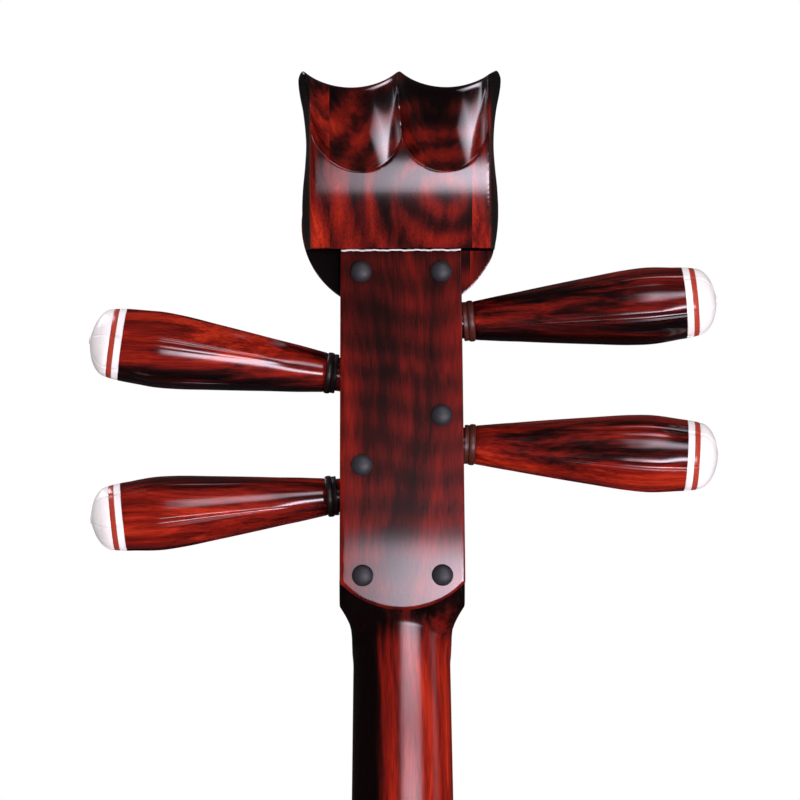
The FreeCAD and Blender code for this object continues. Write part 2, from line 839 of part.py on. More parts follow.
def make_ribs():
    """Bent sides: two half hoops that meet over the tail block and stop at the neck's tenon."""
    ring = hoop(body_radius, body_radius - rib_t, front_y + board_t, -board_t)
    ring = ring.cut(tenon_block(0, body_radius + 5))
    ring = ring.cut(button_bore())
    half = box(0, 300, -100, 10, -300, 300)
    return ring.common(half), ring.common(mirrored(half))


def make_blocks():
    """Neck block with the mortise for the tenon, and tail block with the button's hole."""
    y0 = front_y + board_t
    y1 = -board_t
    half = block_half_w
    inner = disc(body_radius - rib_t, y0, y1)
    top = box(-half, half, y0, y1, body_radius - rib_t - block_length, body_radius)
    mortise = tenon_block(body_radius - rib_t - tenon_length, body_radius)
    tail = box(-half, half, y0, y1, -body_radius, block_length - body_radius)
    return inner.common(top).cut(mortise), inner.common(tail).cut(button_bore())


def make_lining(y0, y1):
    """Kerfed lining strip in the corner of ribs and board, cut short at both blocks."""
    ring = hoop(body_radius - rib_t, body_radius - rib_t - lining_w, y0, y1)
    return ring.cut(box(-block_half_w, block_half_w, y0 - 1, y1 + 1, -body_radius, body_radius))


def make_braces(y0, y1):
    """Cross bars glued to the inside of a board, from lining to lining."""
    inner = body_radius - rib_t - lining_w
    bars = []
    for z in brace_places:
        bar = box(-inner, inner, y0, y1, z - brace_w / 2, z + brace_w / 2)
        bars.append(bar.common(disc(inner, y0, y1)))
    return Part.makeCompound(bars)


def sound_holes(radius, y0, y1):
    """Two round plugs at the sound holes."""
    return [disc(radius, y0, y1, sign * sound_hole_x, sound_hole_z) for sign in (-1, 1)]


def make_boards():
    """Soundboard with its two holes, and back board."""
    radius = body_radius - binding_w
    front = disc(radius, front_y, front_y + board_t)
    for plug in sound_holes(sound_hole_radius + rosette_w, front_y - 1, front_y + board_t + 1):
        front = front.cut(plug)
    return front, disc(radius, -board_t, 0)


def make_rosettes():
    """Turned rings that line the sound holes, a little proud of the soundboard."""
    rings = []
    y0 = front_y - rosette_proud
    y1 = front_y + board_t
    r = sound_hole_radius
    for sign in (-1, 1):
        rings.append(hoop(r + rosette_w, r, y0, y1, sign * sound_hole_x, sound_hole_z))
    return Part.makeCompound(rings)


def make_posts():
    """Sound posts between the boards, under the bridge."""
    y0 = front_y + board_t
    return Part.makeCompound([disc(post_radius, y0, -board_t, s * post_x, post_z) for s in (-1, 1)])


def make_button():
    """Turned end button, its shank through the ribs into the tail block."""
    base = body_radius
    r = button_radius
    points = [
        (0.0, base - 14),
        (button_shank, base - 14),
        (button_shank, base + 0.2),
        (r * 0.7, base + 0.2),
        (r * 0.6, base + 3),
        (r, base + 7),
        (r * 0.95, base + 10),
        (r * 0.6, base + button_length - 0.6),
        (0.0, base + button_length),
    ]
    corners = [V(r, 0, -z) for r, z in points]
    edges = [line(a, b) for a, b in zip(corners, corners[1:] + corners[:1])]
    button = Part.Face(Part.Wire(edges)).revolve(V(0, 0, 0), V(0, 0, 1), 360)
    button.translate(V(0, -box_depth / 2, 0))
    return button


def main():
    """Build each node and write it."""
    os.makedirs("parts", exist_ok=True)
    strings = make_strings()
    front, back = make_boards()
    rib_a, rib_b = make_ribs()
    neck_block, tail_block = make_blocks()
    core, cheek_a, cheek_b = make_head()
    places = screw_places()
    inner_front = front_y + board_t
    nodes = {
        "soundboard": front,
        "back_board": back,
        "rib_bass": rib_a,
        "rib_treble": rib_b,
        "front_lining": make_lining(inner_front, inner_front + lining_h),
        "back_lining": make_lining(-board_t - lining_h, -board_t),
        "front_binding": hoop(body_radius, body_radius - binding_w, front_y, front_y + board_t),
        "back_binding": hoop(body_radius, body_radius - binding_w, -board_t, 0),
        "neck_block": neck_block,
        "tail_block": tail_block,
        "front_braces": make_braces(inner_front, inner_front + brace_h),
        "back_braces": make_braces(-board_t - brace_h, -board_t),
        "sound_posts": make_posts(),
        "sound_hole_rings": make_rosettes(),
        "end_button": make_button(),
        "neck": make_neck(),
        "fingerboard": make_fingerboard(),
        "frets": Part.makeCompound([fret(n) for n in range(1, fret_count + 1)]),
        "fret_dots": Part.makeCompound([marker(x, z) for x, z in marker_places()]),
        "nut": make_nut(),
        "bridge": make_bridge(),
        "saddle": make_saddle(),
        "pegbox_cover": make_cover(),
        "cover_screws": Part.makeCompound([screw(x, z) for x, z in places]),
        "screw_caps": Part.makeCompound([screw_cap(x, z) for x, z in places]),
        "head_core": core,
        "head_cheek_bass": cheek_a,
        "head_cheek_treble": cheek_b,
        "head_face": make_head_face(),
        "head_inlay": make_inlay(),
    }
    for name in pegs:
        bone, red, cap = peg_rings(name)
        nodes[name + "_handle"] = peg_place(peg_handle(name), name)
        nodes[name + "_collar"] = peg_place(peg_collar(name), name)
        nodes[name + "_bone_ring"] = peg_place(bone, name)
        nodes[name + "_red_ring"] = peg_place(red, name)
        nodes[name + "_cap"] = peg_place(cap, name)
        nodes[name + "_coil"] = peg_place(coil(name), name)
        nodes[name.replace("peg", "string")] = strings[name]
    for name, shape in nodes.items():
        save(name, shape)


main()
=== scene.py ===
"""Looks of a zhongruan: red rosewood neck, head and pegs over a round paulownia soundbox."""

import logging
import math
from dataclasses import dataclass, field
from enum import Enum
from typing import Any, Callable, Iterable, Sequence

import bmesh
import bpy
import numpy as np
from mathutils import Matrix, Vector

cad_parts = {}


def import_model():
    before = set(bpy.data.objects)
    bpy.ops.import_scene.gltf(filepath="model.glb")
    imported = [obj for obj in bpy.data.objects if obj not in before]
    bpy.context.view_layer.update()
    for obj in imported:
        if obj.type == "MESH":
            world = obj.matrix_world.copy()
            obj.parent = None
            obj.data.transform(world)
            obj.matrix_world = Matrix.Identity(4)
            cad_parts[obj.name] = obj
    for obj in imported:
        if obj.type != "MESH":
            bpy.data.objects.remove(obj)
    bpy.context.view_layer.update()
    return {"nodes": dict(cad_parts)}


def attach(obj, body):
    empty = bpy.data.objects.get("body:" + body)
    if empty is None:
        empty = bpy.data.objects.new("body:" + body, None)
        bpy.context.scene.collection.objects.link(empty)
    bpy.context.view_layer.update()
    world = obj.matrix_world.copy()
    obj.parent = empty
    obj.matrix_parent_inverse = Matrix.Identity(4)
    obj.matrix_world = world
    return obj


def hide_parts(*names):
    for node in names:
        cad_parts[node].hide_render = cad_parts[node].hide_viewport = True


MM = 0.001
LOG = logging.getLogger("zhongruan")


def linear(colour: str) -> tuple[float, float, float, float]:
    """Turn an sRGB hex colour into linear light.

    Args:
        colour: six hex digits with a leading hash.

    Returns:
        Red, green, blue and full alpha, in linear light.
    """
    parts = [int(colour[i : i + 2], 16) / 255 for i in (1, 3, 5)]
    light = [p / 12.92 if p <= 0.04045 else ((p + 0.055) / 1.055) ** 2.4 for p in parts]
    return (light[0], light[1], light[2], 1.0)


def smooth(low: float, high: float, value: Any) -> Any:
    """Ease from 0 at low to 1 at high."""
    share = np.clip((value - low) / (high - low), 0.0, 1.0)
    return share * share * (3 - 2 * share)


class Nodes:
    """A node tree, built by adding nodes one at a time."""

    def __init__(self, tree: bpy.types.NodeTree) -> None:
        """Take the tree to build in."""
        self.tree = tree

    def add(self, kind: str, settings: dict[str, Any] | None = None, **inputs: Any) -> bpy.types.Node:
        """Add a node with its settings and its linked or constant inputs.

        Args:
            kind: name of the node's type after ShaderNode.
            settings: attributes of the node.
            inputs: input sockets by name or by i0, i1 and so on; a socket is linked and a value is set.

        Returns:
            The new node.
        """
        node = self.tree.nodes.new("ShaderNode" + kind)
        for key, value in (settings or {}).items():
            setattr(node, key, value)
        for key, value in inputs.items():
            by_place = key[0] == "i" and key[1:].isdigit()
            socket = node.inputs[int(key[1:])] if by_place else node.inputs[key.replace("_", " ")]
            self.join(value, socket)
        return node

    def join(self, value: Any, socket: bpy.types.NodeSocket) -> None:
        """Link a socket, or set a constant on it."""
        if isinstance(value, bpy.types.NodeSocket):
            self.tree.links.new(value, socket)
        else:
            socket.default_value = value

    def ramp(self, factor: bpy.types.NodeSocket, stops: Sequence[tuple[float, str]]) -> bpy.types.NodeSocket:
        """Colour a factor by stops.

        Args:
            factor: what drives the ramp.
            stops: place and sRGB hex colour of each stop.

        Returns:
            The colour socket.
        """
        node = self.add("ValToRGB", Fac=factor)
        ends = node.color_ramp.elements
        for index, (place, colour) in enumerate(stops):
            stop = ends[index] if index < 2 else ends.new(place)
            stop.position = place
            stop.color = linear(colour)
        return node.outputs["Color"]


class Graph(Nodes):
    """Node tree of one material, with its shader."""

    def __init__(self, name: str) -> None:
        """Start a material with a shader and an output."""
        self.material = bpy.data.materials.new(name)
        self.material.use_nodes = True
        super().__init__(self.material.node_tree)
        self.shader = self.tree.nodes["Principled BSDF"]

    def finish(self, **sockets: Any) -> bpy.types.Material:
        """Set the shader's sockets and hand over the material."""
        for key, value in sockets.items():
            self.join(value, self.shader.inputs[key.replace("_", " ")])
        return self.material


class Grain(Enum):
    """Which way the wood's fibres run in the object's own space."""

    ALONG_X = (0.0, math.pi / 2, 0.0)
    ALONG_Z = (0.0, 0.0, 0.0)


@dataclass(frozen=True)
class Rosewood:
    """Red-dyed rosewood, sanded, pore-filled and lacquered.

    The eye sees near-black growth lines that wander through bright red wood, short dark pores along the
    fibres, and a clear coat whose highlights stay soft at the edge.
    """

    name: str
    grain: Grain = Grain.ALONG_Z
    shift: tuple[float, float, float] = (0.0, 0.0, 0.0)
    line_mm: float = 5.0
    stretch: float = 8.0
    swirl_mm: float = 6.0
    level: float = 0.0
    lines: float = 0.8
    contrast: float = 0.33
    # (direction, from mm, to mm, amount) of each band made darker; most are painted shade
    dark_bands: tuple[tuple[tuple[float, float, float], float, float, float], ...] = ()
    arcs: float = 0.0
    arc_mm: float = 6.0
    arc_at: tuple[float, float, float] = (0.0, 0.0, 0.0)
    pore_mm: float = 0.3
    stops: tuple[tuple[float, str], ...] = (
        (0.0, "#0b0303"),
        (0.2, "#200605"),
        (0.38, "#3f0b08"),
        (0.52, "#5c110b"),
        (0.7, "#76160d"),
        (0.88, "#92200f"),
        (1.0, "#a82a14"),
    )
    coat: float = 1.0
    coat_roughness: float = 0.13

    def figure(self, g: Graph, where: bpy.types.NodeSocket, push: bpy.types.Node) -> bpy.types.NodeSocket:
        """Wide arcs of the cut growth rings, and bands made darker along given directions, most of them
        painted shade on sides turned from the light, under overhangs and towards the tops.
        """
        moved = g.add("VectorMath", {"operation": "SUBTRACT"}, i0=push.outputs[0],
                      i1=tuple(v * MM + s for v, s in zip(self.arc_at, self.shift)))
        rings = g.add("TexWave", {"wave_type": "RINGS", "rings_direction": "Y"}, Vector=moved.outputs[0],
                      Scale=0.314 / (self.arc_mm * MM), Distortion=1.5, Detail=2.0, Detail_Scale=0.6)
        lined = g.add("Math", {"operation": "MULTIPLY_ADD"}, i0=rings.outputs["Fac"], i1=self.arcs,
                      i2=-0.5 * self.arcs)
        total = lined
        for way, start, end, shade in self.dark_bands:
            reach = g.add("VectorMath", {"operation": "DOT_PRODUCT"}, i0=where, i1=way)
            dark = g.add("MapRange", {"interpolation_type": "SMOOTHSTEP"}, Value=reach.outputs["Value"],
                         From_Min=start * MM, From_Max=end * MM, To_Min=0.0, To_Max=-shade)
            total = g.add("Math", {"operation": "ADD"}, i0=total.outputs[0], i1=dark.outputs[0])
        return total.outputs[0]

    def make(self) -> bpy.types.Material:
        """Build the material."""
        g = Graph(self.name)
        where = g.add("TexCoord").outputs["Object"]
        along = g.add("Mapping", Vector=where, Rotation=self.grain.value, Location=self.shift)
        bend = g.add("TexNoise", Vector=along.outputs[0], Scale=22.0, Detail=1.0, Roughness=0.5)
        reach = self.swirl_mm * MM * 4
        push = g.add("VectorMath", {"operation": "MULTIPLY_ADD"}, i0=bend.outputs["Color"],
                     i1=(reach, reach, reach), i2=along.outputs[0])
        drawn = g.add("Mapping", Vector=push.outputs[0], Scale=(1.0, 1.0, 1 / self.stretch))
        line = 1 / (self.line_mm * MM)
        bands = g.add("TexNoise", Vector=drawn.outputs[0], Scale=line, Detail=2.0, Roughness=0.5)
        slow = g.add("TexNoise", Vector=drawn.outputs[0], Scale=line * 0.28, Detail=2.0)
        hair = g.add("Mapping", Vector=push.outputs[0], Scale=(1.0, 1.0, 0.5 / self.stretch))
        fine = g.add("TexNoise", Vector=hair.outputs[0], Scale=line * 3.2, Detail=1.0)
        blend = g.add("Math", {"operation": "MULTIPLY_ADD"}, i0=bands.outputs["Fac"], i1=self.lines,
                      i2=slow.outputs["Fac"])
        blend = g.add("Math", {"operation": "MULTIPLY_ADD"}, i0=fine.outputs["Fac"], i1=0.3,
                      i2=blend.outputs[0])
        blend = g.add("Math", {"operation": "ADD"}, i0=blend.outputs[0], i1=self.figure(g, where, push))
        middle = 0.65 + self.lines / 2 - self.level
        spread = g.add("MapRange", Value=blend.outputs[0], From_Min=middle - self.contrast,
                       From_Max=middle + self.contrast)
        wood = g.ramp(spread.outputs[0], self.stops)
        fibre = g.add("Mapping", Vector=along.outputs[0], Scale=(1.0, 1.0, 0.04))
        pores = g.add("TexNoise", Vector=fibre.outputs[0], Scale=1 / (self.pore_mm * MM), Detail=1.0)
        fleck = g.add("MapRange", Value=pores.outputs["Fac"], From_Min=0.34, From_Max=0.56, To_Min=0.62,
                      To_Max=1.04)
        flecked = g.add("Mix", {"data_type": "RGBA", "blend_type": "MULTIPLY"}, i0=1.0, i6=wood,
                        i7=fleck.outputs[0])
        bump = g.add("Bump", Strength=0.05, Distance=0.05 * MM, Height=pores.outputs["Fac"])
        return g.finish(Base_Color=flecked.outputs[2], Roughness=0.5, IOR=1.5, Specular_IOR_Level=0.0,
                        Normal=bump.outputs[0], Coat_Weight=self.coat, Coat_Roughness=self.coat_roughness,
                        Coat_IOR=1.5)


@dataclass(frozen=True)
class Bone:
    """Sawn and polished bone: milky white, with faint long cells and a soft gloss."""

    name: str = "polished_bone"
    white: str = "#f5f3f0"
    shade: str = "#e6e0da"
    cell_mm: float = 0.5

    def make(self) -> bpy.types.Material:
        """Build the material."""
        g = Graph(self.name)
        where = g.add("TexCoord").outputs["Object"]
        drawn = g.add("Mapping", Vector=where, Scale=(0.12, 1.0, 1.0))
        cells = g.add("TexNoise", Vector=drawn.outputs[0], Scale=1 / (self.cell_mm * MM), Detail=3.0)
        cloud = g.add("TexNoise", Vector=where, Scale=90.0, Detail=2.0)
        mix = g.add("Math", {"operation": "MULTIPLY_ADD"}, i0=cells.outputs["Fac"], i1=0.35,
                    i2=cloud.outputs["Fac"])
        colour = g.ramp(mix.outputs[0], ((0.35, self.shade), (0.75, self.white)))
        bump = g.add("Bump", Strength=0.05, Distance=0.04 * MM, Height=cells.outputs["Fac"])
        return g.finish(Base_Color=colour, Roughness=0.24, IOR=1.54, Normal=bump.outputs[0],
                        Subsurface_Weight=0.12, Subsurface_Radius=(0.002, 0.0015, 0.001),
                        Subsurface_Scale=1.0)


@dataclass(frozen=True)
class Turned:
    """A plain turned or moulded stuff: faint lathe lines or grain over one colour, with its own gloss."""

    name: str
    colour: str
    light: str
    roughness: float
    ior: float = 1.5
    metallic: float = 0.0
    grit_mm: float = 0.4
    stretch: tuple[float, float, float] = (1.0, 1.0, 1.0)
    relief: float = 0.1
    coat: float = 0.0
    specular: float = 0.5

    def make(self) -> bpy.types.Material:
        """Build the material."""
        g = Graph(self.name)
        where = g.add("TexCoord").outputs["Object"]
        drawn = g.add("Mapping", Vector=where, Scale=self.stretch)
        grit = g.add("TexNoise", Vector=drawn.outputs[0], Scale=1 / (self.grit_mm * MM), Detail=3.0,
                     Roughness=0.6)
        colour = g.ramp(grit.outputs["Fac"], ((0.3, self.colour), (0.72, self.light)))
        gloss = g.add("MapRange", Value=grit.outputs["Fac"], From_Min=0.3, From_Max=0.7,
                      To_Min=self.roughness * 0.85, To_Max=min(1.0, self.roughness * 1.15))
        bump = g.add("Bump", Strength=self.relief, Distance=0.05 * MM, Height=grit.outputs["Fac"])
        sockets: dict[str, Any] = {
            "Base_Color": colour, "Roughness": gloss.outputs[0], "Metallic": self.metallic,
            "Normal": bump.outputs[0], "Coat_Weight": self.coat, "Coat_Roughness": 0.12,
        }
        if self.metallic == 0.0:
            sockets["IOR"] = self.ior
            sockets["Specular_IOR_Level"] = self.specular
        return g.finish(**sockets)


@dataclass(frozen=True)
class PlainWood:
    """Planed wood, waxed or left raw: straight even growth lines with soft pale bands between them."""

    name: str
    dark: str
    light: str
    line_mm: float
    roughness: float
    grain: Grain = Grain.ALONG_Z

    def make(self) -> bpy.types.Material:
        """Build the material."""
        g = Graph(self.name)
        where = g.add("TexCoord").outputs["Object"]
        along = g.add("Mapping", Vector=where, Rotation=self.grain.value)
        flat = g.add("Mapping", Vector=along.outputs[0], Scale=(1.0, 1.0, 0.03))
        waver = g.add("TexNoise", Vector=flat.outputs[0], Scale=26.0, Detail=2.0)
        push = g.add("VectorMath", {"operation": "MULTIPLY_ADD"}, i0=waver.outputs["Color"],
                     i1=(0.03, 0.03, 0.0), i2=flat.outputs[0])
        rings = g.add("TexWave", {"bands_direction": "X", "wave_profile": "SAW"}, Vector=push.outputs[0],
                      Scale=0.31 / (self.line_mm * MM), Distortion=1.2, Detail=2.0, Detail_Scale=1.5)
        fibre = g.add("TexNoise", Vector=flat.outputs[0], Scale=2600.0, Detail=2.0)
        mix = g.add("Math", {"operation": "MULTIPLY_ADD"}, i0=fibre.outputs["Fac"], i1=0.35,
                    i2=rings.outputs["Fac"])
        level = g.add("Math", {"operation": "MULTIPLY"}, i0=mix.outputs[0], i1=0.75)
        colour = g.ramp(level.outputs[0], ((0.1, self.light), (0.62, self.light), (1.0, self.dark)))
        bump = g.add("Bump", Strength=0.12, Distance=0.06 * MM, Height=fibre.outputs["Fac"])
        return g.finish(Base_Color=colour, Roughness=self.roughness, IOR=1.5, Normal=bump.outputs[0])


def skin(name: str, rings: np.ndarray, material: bpy.types.Material) -> bpy.types.Object:
    """Join closed rings of points into one closed tube with capped ends.

    Args:
        name: the piece's name.
        rings: points by ring, by place round the ring, by axis, in metres.
        material: the piece's finish.

    Returns:
        The new object, shaded smooth.
    """
    count, around = rings.shape[:2]
    points = [tuple(p) for p in rings.reshape(-1, 3)]
    faces = []
    for ring in range(count - 1):
        for i in range(around):
            j = (i + 1) % around
            low = ring * around
            faces.append((low + i, low + j, low + around + j, low + around + i))
    for low, order in ((0, -1), ((count - 1) * around, 1)):
        middle = len(points)
        points.append(tuple(rings[0 if low == 0 else -1].mean(axis=0)))
        faces += [(low + i, low + (i + 1) % around, middle)[::order] for i in range(around)]
    return solid(name, points, faces, material)


def solid(name: str, points: Iterable[Any], faces: Iterable[Any],
          material: bpy.types.Material) -> bpy.types.Object:
    """Make an object of points and faces.

    Args:
        name: the piece's name.
        points: corners in metres.
        faces: corner numbers of each face.
        material: the piece's finish.

    Returns:
        The new object, with its faces turned outward and shaded smooth.
    """
    mesh = bpy.data.meshes.new(name)
    mesh.from_pydata(list(points), [], list(faces))
    work = bmesh.new()
    work.from_mesh(mesh)
    bmesh.ops.recalc_face_normals(work, faces=work.faces)
    work.to_mesh(mesh)
    work.free()
    mesh.materials.append(material)
    mesh.shade_smooth()
    piece = bpy.data.objects.new(name, mesh)
    bpy.context.scene.collection.objects.link(piece)
    return piece


def crisp(piece: bpy.types.Object, degrees: float = 35.0) -> bpy.types.Object:
    """Keep edges sharper than an angle as edges, and shade the rest smooth."""
    piece.data.shade_smooth()
    piece.data.set_sharp_from_angle(angle=math.radians(degrees))
    return piece


@dataclass
class Palette:
    """Every finish of the instrument, made once."""

    made: dict[str, bpy.types.Material] = field(default_factory=dict)

    def get(self, finish: Any) -> bpy.types.Material:
        """Material of a finish."""
        if finish.name not in self.made:
            self.made[finish.name] = finish.make()
        return self.made[finish.name]


UP, DOWN = (0.0, 0.0, 1.0), (0.0, 0.0, -1.0)
TO_BASS, TO_TREBLE = (1.0, 0.0, 0.0), (-1.0, 0.0, 0.0)

# Painted shade: the neck is made darker on its bass side, turned from the light, and from just under the
# cover's foot upward.
NECK_WOOD = Rosewood("lacquered_rosewood_neck", line_mm=5.0, stretch=16.0, swirl_mm=2.5,
                     shift=(0.02, 0.0, 0.013), coat=0.6, coat_roughness=0.17, level=0.07,
                     dark_bands=((TO_BASS, 4.5, 9.5, 0.42), (UP, 586.0, 598.0, 0.3)))
# The cover's wood is made darker towards the top.
COVER_WOOD = Rosewood("lacquered_rosewood_cover", line_mm=7.0, stretch=9.0, swirl_mm=5.0,
                      shift=(0.3, 0.1, 0.27), lines=0.4, contrast=0.42, arcs=0.1, arc_mm=10.0,
                      arc_at=(4.0, -34.0, 775.0), dark_bands=((UP, 610.0, 700.0, 0.16),))
# Painted shade: the head's wood is made darker towards its top.
HEAD_WOOD = Rosewood("lacquered_rosewood_head", line_mm=7.0, stretch=7.0, swirl_mm=4.0,
                     shift=(0.11, 0.05, 0.41), level=0.04, lines=0.5, arcs=0.24, arc_mm=10.5,
                     arc_at=(-7.7, -30.0, 739.0), dark_bands=((UP, 756.0, 766.0, 0.3),))
# Painted shade: the bass cheek is made darker on its outer side face and towards its top; it is also made
# darker below the ledge.
BASS_CHEEK_WOOD = Rosewood("lacquered_rosewood_bass_cheek", line_mm=3.5, stretch=12.0, swirl_mm=3.0,
                           shift=(0.5, 0.2, 0.1), level=0.12,
                           dark_bands=((DOWN, -716.0, -714.8, 0.6), (TO_BASS, 28.9, 30.0, 0.6),
                                   (UP, 760.0, 770.0, 0.3)))
# Painted shade: the treble cheek is made darker on its outer side face and towards its top.
TREBLE_CHEEK_WOOD = Rosewood("lacquered_rosewood_treble_cheek", line_mm=3.5, stretch=12.0, swirl_mm=3.0,
                             shift=(0.8, 0.6, 0.4), level=0.05,
                             dark_bands=((TO_TREBLE, 28.9, 30.2, 0.26), (UP, 758.0, 768.0, 0.3)))
FACE_WOOD = Rosewood("lacquered_rosewood_face", line_mm=6.0, stretch=7.0, swirl_mm=4.0, shift=(0.7, 0.3, 0.2))
BODY_WOOD = Rosewood("lacquered_rosewood_body", line_mm=12.0, stretch=12.0, swirl_mm=8.0,
                     shift=(0.2, 0.9, 0.4))
# Painted shade: pegs c and d are made darker on their lower halves, away from the light above.
PEG_WOODS = tuple(
    Rosewood("lacquered_rosewood_" + name, Grain.ALONG_X, shift, line_mm=3.0, stretch=26.0, swirl_mm=1.8,
             level=level, contrast=0.27, dark_bands=dark_bands)
    for name, shift, level, dark_bands in (
        ("peg_a", (0.0, 0.0, 0.0), 0.03, ()),
        ("peg_b", (0.13, 0.04, 0.2), 0.05, ()),
        ("peg_c", (0.31, 0.17, 0.1), 0.08, (((0.141, 0.0, -0.99), -665.0, -657.0, 0.36),)),
        ("peg_d", (0.47, 0.23, 0.3), 0.06, (((-0.08, 0.0, -0.997), -689.0, -679.0, 0.26),)),
    )
)
# Painted shade: near-black and matt, put on the faces just under the head's ledge.
PAINTED_SHADE_UNDER_LEDGE = Turned("painted_shade_under_ledge", "#080303", "#140605", 0.85, grit_mm=0.3, relief=0.2, specular=0.0)
DARK_WOOD = Turned("oiled_blackwood", "#140b09", "#2a1611", 0.38, stretch=(1.0, 1.0, 0.06), grit_mm=0.5,
                   relief=0.2)
PAULOWNIA = PlainWood("planed_paulownia", "#b68c5a", "#d9bb8f", 4.2, 0.5)
INNER_WOOD = PlainWood("raw_spruce", "#a9834f", "#d9bd8c", 2.5, 0.8)
BONE = Bone()
RED_RING = Turned("red_lacquer_ring", "#9c2f1c", "#b8402a", 0.3, coat=0.6, relief=0.05)
CAP_STUFF = Turned("matt_black_rubber", "#1b1c1f", "#2c2d31", 0.5, ior=1.5, grit_mm=0.25, relief=0.15)
HORN = Turned("turned_brown_horn", "#3a1710", "#5a2619", 0.4, stretch=(3.0, 1.0, 1.0), grit_mm=0.3)
# A darker copy of the turned horn, for the collars of the bass-side pegs a and c.
DARK_HORN = Turned("turned_dark_horn", "#0d0605", "#220d09", 0.42, stretch=(3.0, 1.0, 1.0), grit_mm=0.3)
NICKEL = Turned("nickel_silver_wire", "#b9b6ab", "#d6d3c8", 0.22, metallic=1.0, relief=0.05)
STEEL = Turned("plain_steel_string", "#b4b2ac", "#cfcdc6", 0.25, metallic=1.0, grit_mm=0.2, relief=0.15)
BLACK_STEEL = Turned("blackened_steel_screw", "#101012", "#202024", 0.35, metallic=1.0)


def flow(knots: Sequence[tuple[float, float]], at: Any) -> np.ndarray:
    """Smooth curve through knots.

    Args:
        knots: place and value of each knot, in rising order of place.
        at: places to read the curve at.

    Returns:
        The values there.
    """
    places, values = np.array(knots, float).T
    slopes = np.gradient(values, places)
    at = np.clip(np.asarray(at, float), places[0], places[-1])
    low = np.clip(np.searchsorted(places, at) - 1, 0, len(places) - 2)
    run = places[low + 1] - places[low]
    t = (at - places[low]) / run
    start = values[low] * (1 + 2 * t) * (1 - t) ** 2 + slopes[low] * run * t * (1 - t) ** 2
    return start + values[low + 1] * t * t * (3 - 2 * t) + slopes[low + 1] * run * t * t * (t - 1)


@dataclass
class Assembly:
    """A group of pieces that ride on one body."""

    palette: Palette
    body: str = "root"

    def add(self, piece: bpy.types.Object, slot: str, *nodes: str) -> bpy.types.Object:
        """Fix a piece to the body and let it stand for its nodes.

        Args:
            piece: the new object, in place.
            slot: not used.
            nodes: the construction's nodes it stands for.

        Returns:
            The same piece.
        """
        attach(piece, self.body)
        if nodes:
            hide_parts(*nodes)
        LOG.info("%s: %d faces on %s", piece.name, len(piece.data.polygons), self.body)
        return piece


